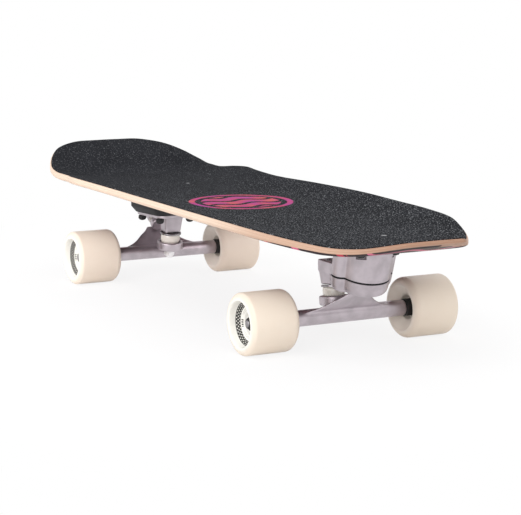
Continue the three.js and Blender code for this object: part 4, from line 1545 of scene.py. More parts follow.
@dataclass(frozen=True)
class Hanger:
    """The cast hanger with its ring, two webs and stem, and its axle, black collars of painted shade, nuts
    and washers.
    """

    half: float = 73.6
    barrel: float = 8.75
    # Black collars beside the barrel ends: painted shade for the dark gap by the bearings
    collar: float = 9.3
    collar_end: float = 85.4
    shade_collar_gap: float = 0.02
    collar_sink: float = 0.2
    collar_ease: float = 0.5
    ring: float = 16.3
    ring_thickness: float = 8.2
    rim_height: float = 2.5
    bore: float = 9.3
    upper_seat: float = 13.2
    lower_seat: float = 11.0
    lower_seat_depth: float = 3.5
    stem: Profile = ((0, -17), (9.0, -17), (9.0, -9.5), (5.0, -7), (5.0, -0.5), (3.4, 1.6), (0, 2))
    tool_low: float = -14.0
    tool_high: float = 19.0
    seat_chamfer: float = 0.8
    rim_margin: float = 0.6
    barrel_ease: float = 1.2
    ring_ease: float = 1.5
    pivot_reach: float = 38.0
    pivot_half_width: float = 60.0
    pivot_faces: Profile = ((0.5, -1.2), (8.7, 5.6))
    ring_half_width: float = 46.0
    ring_faces: Profile = ((-3.6, -3.8), (3.8, 4.0))
    axle: float = 4.0
    axle_half: float = 117.05
    axle_point: float = 0.7
    axle_point_length: float = 0.9
    axle_ease: float = 0.4
    nut_seat: float = 110.05
    nut_height: float = 6.0
    nut_flats: float = 12.7
    nut_gap: float = 0.1
    nut_collar: float = 1.6
    nut_collar_overlap: float = 0.4
    nut_collar_root: float = 5.9
    nut_collar_end: float = 5.2
    nut_collar_ease: float = 0.4
    washer: float = 6.4
    washer_gap: float = 0.15
    washer_height: float = 0.28
    washer_drop: float = 0.29
    web_steps: int = 6
    smoothing: int = 14
    pivot_shares: Profile = (
        (-0.1, 1.40), (0, 1.40), (0.1, 1.36), (0.16, 1.12), (0.23, 0.88), (0.33, 0.68), (0.47, 0.53),
        (0.68, 0.38), (0.84, 0.25), (1, 0.16), (1.1, 0.1),
    )
    ring_shares: Profile = (
        (-0.2, 1.1), (0, 1), (0.3, 0.72), (0.6, 0.5), (0.85, 0.34), (1, 0.26), (1.1, 0.2),
    )

    def web(
        self, form: Form, shares: Profile, reach: float, half_width: float, faces: Profile, way: Vector,
    ) -> None:
        """Adds a web that leaves the axle and thins out along its way.

        Args:
            form: The form to add to.
            shares: Half plan as shares of reach and half width, with a guide point at each end.
            reach: Length of the web along its way.
            half_width: Half its width at the axle.
            faces: For its lower face, then its upper one, the levels at the axle and at its far end.
            way: The direction in which it leaves the axle.
        """
        curve = through([(across * half_width, along * reach) for along, across in shares], self.web_steps)
        along, across = way.normalized(), Vector((0, 1, 0))
        up = across.cross(along)
        rings: list[Ring] = [[], []]
        for wide, far in [*curve, *[(-wide, far) for wide, far in reversed(curve)]]:
            for ring, near, away in zip(rings, *faces, strict=True):
                ring.append(across * wide + along * far + up * (near + (away - near) * far / reach))
        form.skin(rings)

    def casting(self) -> bpy.types.Mesh:
        """The hanger's one mesh.

        Returns:
            The mesh.
        """
        form, cuts = Form(), Form()
        low, high = -self.ring_thickness / 2, self.ring_thickness / 2
        rim, step = high + self.rim_height, low + self.lower_seat_depth
        form.rod(self.barrel, -self.half, self.half, PLAN.across, self.barrel_ease)
        form.rod(self.ring, low, rim, PLAN.kingpin, self.ring_ease)
        form.lathe(self.stem, PLAN.pivot)
        pivot_way, ring_way = (Vector((x, 0, z)) for x, z in (PLAN.pivot_place, PLAN.ring_place))
        self.web(form, self.pivot_shares, self.pivot_reach, self.pivot_half_width, self.pivot_faces,
                 pivot_way)
        self.web(form, self.ring_shares, math.hypot(*PLAN.ring_place), self.ring_half_width, self.ring_faces,
                 ring_way)
        cuts.lathe([
            (0, self.tool_low), (self.lower_seat, self.tool_low), (self.lower_seat, step), (self.bore, step),
            (self.bore, high), (self.upper_seat, high), (self.upper_seat, rim - self.seat_chamfer),
            (self.upper_seat + self.seat_chamfer, rim), (self.ring + self.rim_margin, rim),
            (self.ring + self.rim_margin, self.tool_high), (0, self.tool_high),
        ], PLAN.kingpin, FINE_SIDES)
        return Foundry(smoothing=self.smoothing).cast("hanger_casting", form, cuts, CAST)

    def axle_bar(self) -> Form:
        """The axle with a black collar beside each end of the barrel, whose black is painted shade for the
        dark gap between barrel and bearing.

        Returns:
            The form.
        """
        end, point = self.axle_half, self.axle - self.axle_point
        axle = Form().lathe(eased([
            (0, -end), (point, -end), (self.axle, self.axle_point_length - end),
            (self.axle, end - self.axle_point_length), (point, end), (0, end),
        ], self.axle_ease))
        # The black collars are painted shade: a dark piece in the gap between each barrel end and its bearing
        axle.tone = 1
        near = self.half + self.shade_collar_gap
        for low, high in ((-self.collar_end, -near), (near, self.collar_end)):
            axle.ring(self.axle - self.collar_sink, (self.collar, low), (self.collar, high), self.collar_ease)
        return axle

    def axle_nut(self) -> Form:
        """One axle nut with its collar outwards.

        Returns:
            The form.
        """
        hole, face = self.axle + self.nut_gap, self.nut_height - self.nut_collar
        root = face - self.nut_collar_overlap
        nut = Form().nut(self.nut_flats, hole, 0, face)
        return nut.ring(hole, (self.nut_collar_root, root), (self.nut_collar_end, self.nut_height),
                        self.nut_collar_ease)

    def build(self) -> None:
        """Makes both hangers from one casting, with their axles, black collars of painted shade, nuts and
        washers.
        """
        casting = self.casting()
        axle = self.axle_bar().mesh("axle_shape", AXLE, BLACKENED)
        nut = self.axle_nut().mesh("axle_nut_shape", BLACKENED)
        washer = Form().ring(self.axle + self.washer_gap, (self.washer, 0), (self.washer, self.washer_height))
        washer_mesh = washer.mesh("speed_washer_shape", PLATED)
        for end, body in ((End.FRONT, Body.FRONT_HANGER), (End.REAR, Body.REAR_HANGER)):
            place = PLAN.place(end)
            show(casting, f"{end.value}_hanger_casting", body, Slot.CAST, place, f"{end.value}_hanger")
            show(axle, f"{end.value}_axle_bar", body, Slot.STEEL, place @ PLAN.across, f"{end.value}_axle")
            flip = 1 if end is End.FRONT else -1
            for side in Side:
                name = f"{end.value}_{side.word}"
                outward = place @ turned(-90 * side.value * flip, "X")
                show(nut, f"{name}_axle_lock_nut", body, Slot.STEEL, outward @ moved(z=self.nut_seat),
                     f"{name}_axle_nut")
                show(washer_mesh, f"{name}_speed_washer", body, Slot.STEEL,
                     outward @ moved(z=self.nut_seat - self.washer_drop))


@dataclass(frozen=True)
class Wheels:
    """Four wheels with two sealed bearings each, all about the axle with +Z outwards."""

    radius: float = 33.0
    half: float = 28.0
    lip: float = 25.0
    outer_rounding: float = 5.2
    inner_rounding: float = 7.5
    core: float = 12.0
    core_bore: float = 9.4
    dish: Profile = (
        (24.2, 27.0), (23.6, 24.2), (22.9, 20.0), (18.3, 16.6), (17.6, 16.4), (13.2, 14.6), (12.1, 12.4),
    )
    back: Profile = ((18.6, 23.8), (13.4, 19.5), (12.2, 12.4))
    face_ease: float = 0.9
    seat_gap: float = 0.1
    bearing_outer: float = 11.0
    bearing_width: float = 7.0
    bore: float = 4.05
    outer_race: float = 9.3
    outer_race_ease: float = 0.5
    inner_race: float = 6.3
    inner_race_ease: float = 0.4
    shield_inner: float = 6.2
    shield_outer: float = 9.4
    shield_depth: float = 0.4
    spacer: float = 5.6
    spacer_half: float = 4.9
    sides: int = 96
    shoulder_steps: int = 12

    def shoulder(self, sign: float) -> Profile:
        """The rounded shoulder from the lip to the tread, on one side.

        Args:
            sign: 1 for the outer side, -1 for the inner one.

        Returns:
            Radius and height pairs.
        """
        rounding = self.outer_rounding if sign > 0 else self.inner_rounding
        made = []
        for k in range(self.shoulder_steps + 1):
            turn = k / self.shoulder_steps * math.pi / 2
            reach = self.lip + (self.radius - self.lip) * math.sin(turn)
            made.append((reach, sign * (self.half - rounding * (1 - math.cos(turn)))))
        return made

    def tyre(self) -> bpy.types.Mesh:
        """The wheel's mesh: tread, lips, dished faces and bearing seats.

        Returns:
            The mesh.
        """
        seat, stop = self.bearing_outer + self.seat_gap, self.core - self.bearing_width - self.seat_gap
        dish, back = (eased([(self.lip, self.half), *face, (seat, self.core)], self.face_ease)
                      for face in (self.dish, self.back))
        profile = [
            *reversed(self.shoulder(1)), *dish[1:], (seat, stop), (self.core_bore, stop),
            (self.core_bore, -stop), (seat, -stop), *[(reach, -z) for reach, z in reversed(back)][:-1],
            *self.shoulder(-1),
        ]
        return Form().lathe([*profile, profile[0]], sides=self.sides).mesh("wheel_shape", WHEEL)

    def bearing(self) -> bpy.types.Mesh:
        """A bearing's mesh: two races with a recessed shield between them.

        Returns:
            The mesh.
        """
        half, outer = self.bearing_width / 2, self.bearing_outer
        form = Form()
        form.ring(self.outer_race, (outer, -half), (outer, half), self.outer_race_ease)
        form.ring(self.bore, (self.inner_race, -half), (self.inner_race, half), self.inner_race_ease)
        form.tone = 1
        face = half - self.shield_depth
        form.ring(self.shield_inner, (self.shield_outer, -face), (self.shield_outer, face))
        return form.mesh("bearing_shape", PLATED, SHIELD)

    def build(self) -> None:
        """Makes four tyres, eight bearings and the four spacers between them."""
        tyre, bearing = self.tyre(), self.bearing()
        spacer = Form().ring(self.bore, (self.spacer, -self.spacer_half), (self.spacer, self.spacer_half))
        spacer_mesh = spacer.mesh("bearing_spacer_shape", PLATED)
        inward = self.core - self.bearing_width / 2
        for end in End:
            x = PLAN.front_x if end is End.FRONT else PLAN.rear_x
            for side in Side:
                name = f"{end.value}_{side.word}"
                body = f"{name}_wheel_set"
                middle = moved(x, side.value * PLAN.track / 2, PLAN.axle_height)
                place = middle @ turned(-90 * side.value, "X")
                show(tyre, f"{name}_tyre", body, Slot.URETHANE, place, f"{name}_wheel")
                for word, shift in (("outer", inward), ("inner", -inward)):
                    show(bearing, f"{name}_{word}_sealed_bearing", body, Slot.STEEL, place @ moved(z=shift),
                         f"{name}_{word}_bearing")
                show(spacer_mesh, f"{name}_bearing_spacer", body, Slot.STEEL, place)


@dataclass(frozen=True)
class KingpinStack:
    """Kingpin, bushings, washers, nut and pivot cup of one truck, along the kingpin."""

    pin: float = 4.75
    tip: float = -15.4
    point: float = 1.0
    point_height: float = 1.2
    head: float = 7.4
    grip: float = 33.5
    head_height: float = 6.0
    head_ease: float = 0.6
    socket: float = 6.0
    socket_low: float = 2.5
    socket_tip: float = 2.0
    bore: float = 5.05
    barrel: Profile = ((10.6, 4.1), (12.0, 7.6), (12.1, 10.4), (12.0, 13.2), (10.8, 16.7))
    cone: Profile = ((8.6, -5.5), (10.5, -3.3), (10.6, -0.75))
    cupped: Profile = ((12.4, 16.7), (12.9, 15.9), (13.5, 16.0), (13.3, 18.0), (12.6, 18.3))
    flat: Profile = ((8.4, -6.7), (8.4, -5.5))
    barrel_ease: float = 1.6
    cone_ease: float = 0.9
    rim_ease: float = 0.3
    nut_flats: float = 12.7
    nut_low: float = -12.1
    nut_high: float = -6.8
    nut_collar: Profile = ((5.9, -11.9), (5.4, -12.6))
    cup: Profile = (
        (0, 2.3), (5.1, 2.3), (5.3, 1.9), (5.3, -6.0), (8.2, -6.0), (8.2, -4.6), (6.8, -4.6), (6.8, 3.6),
        (6.2, 3.8), (0, 3.8),
    )
    cup_ease: float = 0.5

    def bolt(self) -> Form:
        """The kingpin with its hexagonal socket, from its tip to the top of its head.

        Returns:
            The form.
        """
        top, flats = self.grip + self.head_height, self.socket
        return Form().skin([
            circle(0, self.tip), circle(self.pin - self.point, self.tip),
            circle(self.pin, self.tip + self.point_height), circle(self.pin, self.grip),
            circle(self.head, self.grip), circle(self.head, top - self.head_ease),
            circle(self.head - self.head_ease, top), hexagon(flats, top, flats),
            hexagon(flats, self.grip + self.socket_low, flats), circle(0, self.grip + self.socket_tip),
        ])

    def sleeve(self, outside: Profile, ease: float, sides: int = FINE_SIDES) -> Form:
        """A turned ring on the kingpin.

        Args:
            outside: Radii and heights of its outside.
            ease: Rounding of its corners.
            sides: Points round it.

        Returns:
            The form.
        """
        start, end = (self.bore, outside[0][1]), (self.bore, outside[-1][1])
        return Form().lathe(eased([start, *outside, end, start], ease), sides=sides)

    def parts(self) -> list[tuple[str, str, Form, Finish, Slot]]:
        """The stack's turned pieces: node, piece name, form, finish and slot.

        Returns:
            A row for each piece.
        """
        barrel = self.sleeve(self.barrel, self.barrel_ease)
        cone = self.sleeve(self.cone, self.cone_ease)
        cupped = self.sleeve(self.cupped, self.rim_ease)
        flat = self.sleeve(self.flat, self.rim_ease, SIDES)
        nut = Form().nut(self.nut_flats, self.bore, self.nut_low, self.nut_high)
        nut.ring(self.bore, *self.nut_collar, self.rim_ease)
        return [
            ("kingpin", "kingpin_bolt", self.bolt(), ZINC, Slot.STEEL),
            ("upper_bushing", "barrel_bushing", barrel, BUSHING, Slot.BUSHING),
            ("lower_bushing", "cone_bushing", cone, BUSHING, Slot.BUSHING),
            ("upper_washer", "cupped_washer", cupped, DARK_WASHER, Slot.BLACK_STEEL),
            ("lower_washer", "flat_washer", flat, PLATED, Slot.STEEL),
            ("kingpin_nut", "kingpin_lock_nut", nut, ZINC, Slot.STEEL),
        ]

    def build(self) -> None:
        """Makes both trucks' stacks."""
        made = [(node, name, form.mesh(f"{name}_shape", finish), slot)
                for node, name, form, finish, slot in self.parts()]
        cup = Form().lathe(eased(self.cup, self.cup_ease)).mesh("pivot_cup_shape", BUSHING)
        for end, body in ((End.FRONT, Body.ARM), (End.REAR, Body.BOARD)):
            place = PLAN.place(end)
            for node, name, mesh, slot in made:
                show(mesh, f"{end.value}_{name}", body, slot, place @ PLAN.kingpin, f"{end.value}_{node}")
            show(cup, f"{end.value}_pivot_socket", body, Slot.BUSHING, place @ PLAN.pivot,
                 f"{end.value}_pivot_cup")


@dataclass(frozen=True)
class Seats:
    """The kingpin block and the pivot boss, the same on the rear plate and on the swing arm."""

    block_foot: tuple[float, float] = (8.3, 10.4)
    block_top: tuple[float, float] = (9.5, 12.8)
    block_low: float = 18.9
    block_height: float = 24.0
    block_corner: float = 2.4
    boss: float = 8.8
    boss_low: float = -4.5
    boss_high: float = 8.0
    boss_ease: float = 0.8
    kingpin_bore: Profile = ((0, 14), (5.05, 14), (5.05, 33.2), (7.7, 33.2), (7.7, 47), (0, 47))
    pivot_bore: Profile = ((0, -17), (11.5, -17), (11.5, -4.5), (7.1, -4.5), (7.1, 4.1), (0, 4.1))

    def add(self, form: Form, place: Matrix) -> None:
        """Adds both seats to a casting.

        Args:
            form: The casting's form.
            place: The truck's place in it.
        """
        form.skin([rounded_box(*self.block_foot, self.block_corner, self.block_low),
                   rounded_box(*self.block_top, self.block_corner, self.block_low + self.block_height)],
                  place @ PLAN.kingpin)
        form.rod(self.boss, self.boss_low, self.boss_high, place @ PLAN.pivot, self.boss_ease)

    def cut(self, form: Form, place: Matrix) -> None:
        """Adds the tools that bore both seats."""
        form.lathe(self.kingpin_bore, place @ PLAN.kingpin)
        form.lathe(self.pivot_bore, place @ PLAN.pivot)


@dataclass(frozen=True)
class RearMount:
    """The rear baseplate and the flared riser between it and the deck."""

    half_length: float = 38.0
    half_width: float = 24.0
    corner: float = 10.0
    thickness: float = 3.5
    overlap: float = 3.0
    inward: float = 6.0
    rise: float = 46.5
    tilt: float = 2.1
    pillar: tuple[Section, ...] = ((8, 7.5, 2.5, 40), (9, 8, 2.5, 51))
    pillar_x: float = 29.0
    rib: tuple[Section, ...] = ((9, 3.0, 1.4, 40), (15, 3.0, 1.4, 50))
    rib_x: float = 14.0
    tool_high: float = 60.0
    smoothing: int = 6
    riser_top: float = 80.3
    riser_gap: float = 0.1
    riser_corner: float = 9.0
    riser_half: tuple[float, float] = (45.0, 30.0)
    riser_ease: float = 0.6
    margin: float = 1.5
    flare: Profile = ((-0.6, 0), (0, 0.6), (2.25, 3.75), (4.7, 7.0), (5.0, 7.5))

    def build(self) -> None:
        """Makes both pieces."""
        plate = leaning(-self.inward, self.rise, self.tilt)
        form, cuts, seats = Form(), Form(), Seats()
        form.skin([rounded_box(self.half_length, self.half_width, self.corner, height)
                   for height in (0, self.thickness + self.overlap)], plate)
        seats.add(form, Matrix())
        for sections, x in ((self.pillar, self.pillar_x), (self.rib, self.rib_x)):
            form.skin([rounded_box(*section) for section in sections], moved(x))
        seats.cut(cuts, Matrix())
        cuts.skin(slab(self.half_length * 2, self.thickness, self.tool_high), plate)
        mesh = Foundry(smoothing=self.smoothing).cast("rear_baseplate_casting", form, cuts, CAST)
        place = PLAN.place(End.REAR)
        show(mesh, "rear_baseplate_casting", Body.BOARD, Slot.CAST, place, "rear_baseplate")
        show(self.riser(plate).mesh("rear_riser_shape", PLASTIC), "rear_riser_pad", Body.BOARD,
             Slot.BLACK_PLASTIC, place, "rear_riser")

    def riser(self, plate: Matrix) -> Form:
        """The riser: it flares up from the plate and is level on top.

        Args:
            plate: The tilted frame of the plate.

        Returns:
            The form.
        """
        rings = []
        for flare, rise in self.flare:
            reach = self.margin + flare
            ring = rounded_box(self.half_length + reach, self.half_width + reach,
                               self.riser_corner + flare / 2, self.thickness + self.riser_gap + rise)
            rings.append([plate @ point for point in ring])
        widest, (length, width) = rings[-1], self.riser_half
        for drop, inset in ((self.riser_ease, 0.0), (0.0, self.riser_ease)):
            rings.append([Vector((point.x * (1 - inset / length), point.y * (1 - inset / width),
                                  self.riser_top - drop)) for point in widest])
        return Form().skin(rings)


@dataclass(frozen=True)
class SurfAdapter:
    """The fixed housing under the nose, the arm that swings on it, and the shaft parts inside."""

    axis_x: float = 269.1
    seam_z: float = 81.39
    tilt: float = 14.0
    height: float = 32.0
    deck_gap: float = 0.3
    gap: float = 1.1
    lobe: float = 27.0
    lobe_steps: int = 28
    side_lobe: float = 9.0
    side_lobe_steps: int = 16
    side_across: float = 27.0
    side_back: float = 4.0
    back: float = 14.0
    housing_low: float = -2.0
    housing_high: float = 42.0
    flare: float = 1.5
    flange: float = 4.0
    flange_margin: float = 10.0
    flange_corner: float = 9.0
    overlap: float = 2.0
    along: float = 53.5
    across: float = 41.3
    bolt_hole: float = 2.7
    bolt_hole_skin: float = 0.2
    nut_well: float = 5.9
    nut_well_depth: float = 7.0
    lower_seat: float = 13.3
    lower_seat_height: float = 5.6
    spring_room: float = 14.5
    bore_low: float = -9.0
    bore_high: float = 47.0
    deck_tool: float = 60.0
    deck_tool_height: float = 25.0
    arm_top: float = 2.5
    arm_walls: Profile = ((0.6, -10.4), (1.5, -13.2), (2.9, -15.2), (4.8, -16.5))
    arm_tool_high: float = 40.0
    beam: tuple[Section, ...] = ((32, 13, 3, 41.9), (32, 13, 3, 54.4))
    beam_x: float = -4.6
    block: tuple[Section, ...] = ((11.6, 11.4, 2.4, 19.2), (13.4, 13.0, 2.4, 42.0))
    block_ahead: float = 3.3
    smoothing: int = 7
    post: float = 8.0
    post_low: float = -6.0
    post_height: float = 22.0
    post_ease: float = 0.5
    post_overlap: float = 0.2
    # A black ring in the seam between housing and arm: painted shade
    seam_shade_inset: float = 0.8
    seal_heights: tuple[float, float] = (-1.4, 1.05)
    race_bore: float = 8.3
    race_ease: float = 0.6
    lower_race: float = 13.0
    lower_race_height: float = 5.0
    upper_race: float = 14.2
    upper_race_heights: tuple[float, float] = (18.0, 22.0)
    bolt: Profile = ((0, 4.3), (4, 4.3), (4, 22.3), (10.5, 22.3), (10.5, 26.0), (9.7, 26.8))
    socket: float = 8.0
    socket_heights: tuple[float, float] = (26.8, 24.0)
    socket_tip: float = 23.6
    coil: float = 11.5
    coil_seat: float = 5.3
    wire: float = 1.15
    pitch: float = 2.9
    turns: int = 3
    turn_steps: int = 40

    @property
    def place(self) -> Matrix:
        """The swing axis, from where it meets the seam."""
        return moved(self.axis_x, 0, self.seam_z) @ turned(self.tilt, "Y")

    @property
    def level(self) -> Matrix:
        """A level frame inside the leaning one."""
        return turned(-self.tilt, "Y")

    @property
    def truck(self) -> Matrix:
        """The front axle's frame inside the leaning one."""
        return self.level @ moved(PLAN.front_x - self.axis_x, 0, PLAN.axle_height - self.seam_z)

    def lobes(self, inset: float, height: float) -> Ring:
        """The housing's plan: a large lobe to the nose and a small one at each side.

        Args:
            inset: How far it is drawn in.
            height: Place along the swing axis.

        Returns:
            The ring.
        """
        apart = math.hypot(self.side_back, self.side_across)
        heading = math.atan2(self.side_across, -self.side_back)
        big, small = self.lobe, self.side_lobe
        big_turn = math.acos((big ** 2 + apart ** 2 - small ** 2) / (2 * big * apart))
        small_turn = math.acos((small ** 2 + apart ** 2 - big ** 2) / (2 * small * apart))
        half = []
        for k in range(self.lobe_steps):
            turn = (heading - big_turn) * (k + 0.5) / (self.lobe_steps - 0.5)
            half.append((big * math.cos(turn), big * math.sin(turn)))
        start = heading + math.pi + small_turn
        for k in range(1, self.side_lobe_steps + 1):
            turn = start + (3 * math.pi - start) * k / self.side_lobe_steps
            half.append((small * math.cos(turn) - self.side_back, small * math.sin(turn) + self.side_across))
        half.append((-self.back, self.side_across / 2))
        scale = 1 - inset / self.lobe
        ends = [*half, *[(x, -y) for x, y in reversed(half)]]
        return [Vector((x * scale, y * scale, height)) for x, y in ends]

    def housing(self) -> bpy.types.Mesh:
        """The fixed casting: housing and flange, bored for its bearings and flat at the seam.

        Returns:
            The mesh.
        """
        form, cuts = Form(), Form()
        top, step = self.height - self.deck_gap, self.gap + self.lower_seat_height
        form.skin([self.lobes(0, self.housing_low), self.lobes(-self.flare, self.housing_high)])
        form.skin([rounded_box(self.along / 2 + self.flange_margin, self.across / 2 + self.flange_margin,
                               self.flange_corner, height)
                   for height in (top - self.flange, top + self.overlap)], self.level)
        cuts.lathe([
            (0, self.bore_low), (OUT_OF_THE_WAY, self.bore_low), (OUT_OF_THE_WAY, self.gap),
            (self.lower_seat, self.gap), (self.lower_seat, step), (self.spring_room, step),
            (self.spring_room, self.bore_high), (0, self.bore_high),
        ], sides=FINE_SIDES)
        face, skin = top - self.flange, top - self.bolt_hole_skin
        hole = [(0, face - self.nut_well_depth), (self.nut_well, face - self.nut_well_depth),
                (self.nut_well, face), (self.bolt_hole, face), (self.bolt_hole, skin), (0, skin)]
        for x, y in ((1, 1), (1, -1), (-1, 1), (-1, -1)):
            cuts.lathe(hole, self.level @ moved(x * self.along / 2, y * self.across / 2))
        cuts.skin(slab(self.deck_tool, top, top + self.deck_tool_height), self.level)
        return Foundry(smoothing=self.smoothing).cast("adapter_casting", form, cuts, CAST)

    def arm(self) -> bpy.types.Mesh:
        """The swinging casting: cup, beam, kingpin block, pivot boss and the hole for its post.

        Returns:
            The mesh.
        """
        form, cuts, seats = Form(), Form(), Seats()
        rim = -self.gap
        walls = ((0, self.arm_top), (0, rim), *self.arm_walls)
        form.skin([self.lobes(inset, height) for inset, height in walls])
        form.skin([rounded_box(*section) for section in self.beam], self.truck @ moved(self.beam_x))
        seats.add(form, self.truck)
        form.skin([rounded_box(*section) for section in self.block],
                  self.truck @ PLAN.kingpin @ moved(self.block_ahead))
        seats.cut(cuts, self.truck)
        cuts.ring(self.post - self.post_overlap, (OUT_OF_THE_WAY, rim), (OUT_OF_THE_WAY, self.arm_tool_high),
                  sides=FINE_SIDES)
        return Foundry(smoothing=self.smoothing).cast("swing_arm_casting", form, cuts, CAST)

    def shaft_parts(self) -> list[tuple[str, str, Body, Form, Finish, Slot]]:
        """The pieces inside: node, piece name, body, form, finish and slot.

        Returns:
            A row for each piece.
        """
        low, high = self.upper_race_heights
        post = Form().rod(self.post, self.post_low, self.post_height, ease=self.post_ease)
        # Painted shade: a black ring that darkens the seam line between housing and arm
        seam_shade_ring = Form().skin([self.lobes(self.seam_shade_inset, height) for height in self.seal_heights])
        lower = Form().ring(self.race_bore, (self.lower_race, self.gap),
                            (self.lower_race, self.gap + self.lower_race_height), self.race_ease)
        upper = Form().ring(self.race_bore, (self.upper_race, low), (self.upper_race, high), self.race_ease)
        bolt = Form().skin([
            *[circle(radius, height) for radius, height in self.bolt],
            *[hexagon(self.socket, height, self.socket) for height in self.socket_heights],
            circle(0, self.socket_tip),
        ])
        return [
            ("", "swing_post", Body.ARM, post, PLATED, Slot.STEEL),
            ("", "seam_shade_seal", Body.ARM, seam_shade_ring, SEAM_SHADE_RUBBER, Slot.BLACK_PLASTIC),
            ("swing_lower_bearing", "lower_needle_race", Body.BOARD, lower, PLATED, Slot.STEEL),
            ("swing_upper_bearing", "upper_needle_race", Body.BOARD, upper, PLATED, Slot.STEEL),
            ("swing_pivot_bolt", "swing_retaining_bolt", Body.ARM, bolt, PLATED, Slot.STEEL),
            ("swing_return_spring", "wound_return_spring", Body.BOARD, self.spring(), SPRING, Slot.SPRING),
        ]

    def spring(self) -> Form:
        """The return spring: open turns of round wire about the post.

        Returns:
            The form.
        """
        base = self.gap + self.coil_seat + self.wire
        path = []
        for k in range(self.turns * self.turn_steps + 1):
            turn, height = 2 * math.pi * k / self.turn_steps, base + self.pitch * k / self.turn_steps
            path.append(Vector((self.coil * math.cos(turn), self.coil * math.sin(turn), height)))
        return Form().sweep(path, self.wire)

    def build(self) -> None:
        """Makes the adapter."""
        show(self.housing(), "adapter_housing_casting", Body.BOARD, Slot.CAST, self.place, "adapter_base")
        show(self.arm(), "swing_arm_casting", Body.ARM, Slot.CAST, self.place, "swing_arm")
        for node, name, body, form, finish, slot in self.shaft_parts():
            nodes = [node] if node else []
            show(form.mesh(f"{name}_shape", finish), name, body, slot, self.place, *nodes)


# Studio


@dataclass(frozen=True)
class Lamp:
    """A soft square lamp: its place, target, colour, size, power and spread."""

    name: str
    spot: Point
    target: Point
    colour: Colour
    size: float
    power: float
    spread: float = 180.0

    def build(self) -> None:
        """Makes the lamp."""
        lamp = bpy.data.lights.new(self.name, "AREA")
        lamp.energy, lamp.color = self.power, self.colour
        lamp.size, lamp.spread = self.size * METRES_PER_MM, math.radians(self.spread)
        seat = added(self.name, lamp)
        seat.location = Vector(self.spot) * METRES_PER_MM
        aim(seat, Vector(self.target) - Vector(self.spot))


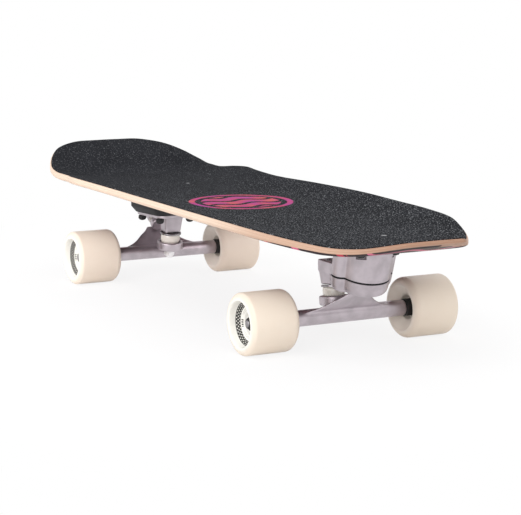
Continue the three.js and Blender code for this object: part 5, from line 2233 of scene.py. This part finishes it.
@dataclass(frozen=True)
class Studio:
    """A white floor and sky, soft lamps, and the camera at the photograph's place."""

    eye: Point = (1822.1, -952.6, 409.8)
    azimuth: float = 61.856
    elevation: float = 9.707
    roll: float = 0.187
    lens: float = 123.27
    sensor: float = 36.0
    far_metres: float = 50.0
    floor_half: float = 6000.0
    floor_glow: float = 0.84
    floor_glow_start: float = 250.0
    floor_glow_end: float = 700.0
    floor_colour: Colour = (0.92, 0.91, 0.915)
    sky_light: float = 0.85
    lamps: tuple[Lamp, ...] = (
        Lamp("key", (900, -1500, 2400), (0, 0, 0), (0.98, 0.98, 1.0), 1600, 27.0),
        Lamp("nose_fill", (2600, 300, 1300), (0, 0, 0), (0.98, 0.99, 1.0), 1800, 3.0),
        Lamp("back", (-1400, 1500, 2000), (0, 0, 0), (1.0, 1.0, 1.0), 1600, 10.0),
        Lamp("rear_right", (420, -1100, 380), (-224, 0, 70), (1.0, 0.90, 0.93), 400, 0.2, 36.0),
        Lamp("rear_left", (300, 500, 300), (-224, 90, 45), (1.0, 0.90, 0.93), 300, 0.055, 30.0),
    )
    window_way: Point = (0.66, -0.68, 0.32)
    window_light: float = 0.62
    window_degrees: float = 35.0

    @staticmethod
    def seen(shader: Shader) -> Value:
        """1 for camera, glossy and transmission rays, 0 for the rest.

        Args:
            shader: The nodes of a material or a world.

        Returns:
            The mask.
        """
        path = shader.node("ShaderNodeLightPath", {}, {})
        rays = [Value(shader, path.outputs[name]) for name in
                ("Is Camera Ray", "Is Glossy Ray", "Is Transmission Ray")]
        return shader.math("MAXIMUM", shader.math("MAXIMUM", rays[0], rays[1]), rays[2])

    def build_camera(self) -> None:
        """Makes the camera."""
        angles = (self.azimuth, self.elevation, self.roll)
        azimuth, elevation, roll = (math.radians(angle) for angle in angles)
        back = Vector((math.sin(azimuth) * math.cos(elevation), -math.cos(azimuth) * math.cos(elevation),
                       math.sin(elevation)))
        right = Vector((math.cos(azimuth), math.sin(azimuth), 0))
        up = back.cross(right)
        level = right * math.cos(roll) + up * math.sin(roll)
        upright = up * math.cos(roll) - right * math.sin(roll)
        camera = bpy.data.cameras.new("photo_camera")
        camera.lens, camera.sensor_width = self.lens, self.sensor
        camera.clip_end = self.far_metres
        seat = added("photo_camera", camera)
        turn = Matrix((level, upright, back)).transposed().to_4x4()
        seat.matrix_world = Matrix.Translation(Vector(self.eye) * METRES_PER_MM) @ turn
        bpy.context.scene.camera = seat

    def build_floor(self) -> None:
        """Makes the floor, which glows white for the camera and keeps a soft shadow."""
        half = self.floor_half
        form = Form()
        form.points = [Vector((x * half, y * half, 0)) for x, y in ((-1, -1), (1, -1), (1, 1), (-1, 1))]
        form.face(0, 1, 2, 3)
        material = bpy.data.materials.new("studio_floor")
        shader = Shader(material)
        paint = shader.node("ShaderNodeBsdfDiffuse", {}, {0: (*self.floor_colour, 1)})
        glow = shader.node("ShaderNodeEmission", {}, {0: (1, 1, 1, 1), 1: 1.0})
        x, y, _ = shader.split(shader.place())
        away = shader.math("SQRT", x * x + y * y).rise(self.floor_glow_start, self.floor_glow_end)
        share = self.seen(shader) * (away * (1 - self.floor_glow) + self.floor_glow)
        mixed = shader.node("ShaderNodeMixShader", {}, {0: share, 1: paint.outputs[0], 2: glow.outputs[0]})
        shader.node("ShaderNodeOutputMaterial", {}, {0: mixed.outputs[0]})
        mesh = form.mesh("studio_floor")
        mesh.materials.append(material)
        floor = added("studio_floor", mesh)

    def build_sky(self) -> None:
        """Makes the sky: white to the camera and in reflections, plainer as light."""
        world = bpy.data.worlds.new("studio_sky")
        bpy.context.scene.world = world
        shader = Shader(world)
        strength = self.seen(shader) * (1 - self.sky_light) + self.sky_light
        sky = shader.node("ShaderNodeBackground", {}, {0: (1, 1, 1, 1), 1: strength})
        shader.node("ShaderNodeOutputWorld", {}, {0: sky.outputs[0]})

    def build_window(self) -> None:
        """Makes the far soft light from the camera's side, the same on both trucks."""
        lamp = bpy.data.lights.new("window", "SUN")
        lamp.energy, lamp.angle = self.window_light, math.radians(self.window_degrees)
        aim(added("window", lamp), -Vector(self.window_way))

    def build(self) -> None:
        """Makes the whole studio."""
        bpy.context.scene.view_settings.view_transform = "Standard"
        self.build_camera()
        self.build_floor()
        self.build_sky()
        for lamp in self.lamps:
            lamp.build()
        self.build_window()


def corners(box: tuple[Vector, Vector]) -> list[list[float]]:
    """A box's corners as plain lists."""
    return [list(corner) for corner in box]


def main() -> None:
    """Builds the studio and every piece of the board."""
    logging.basicConfig(level=logging.INFO, format="%(message)s")
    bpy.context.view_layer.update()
    makers: list[Callable[[], None]] = [
        Studio().build, Deck().build, DeckBolts().build, Hanger().build, Wheels().build, KingpinStack().build,
        RearMount().build, SurfAdapter().build,
    ]
    for make in makers:
        make()


if __name__ == "__main__":
    main()
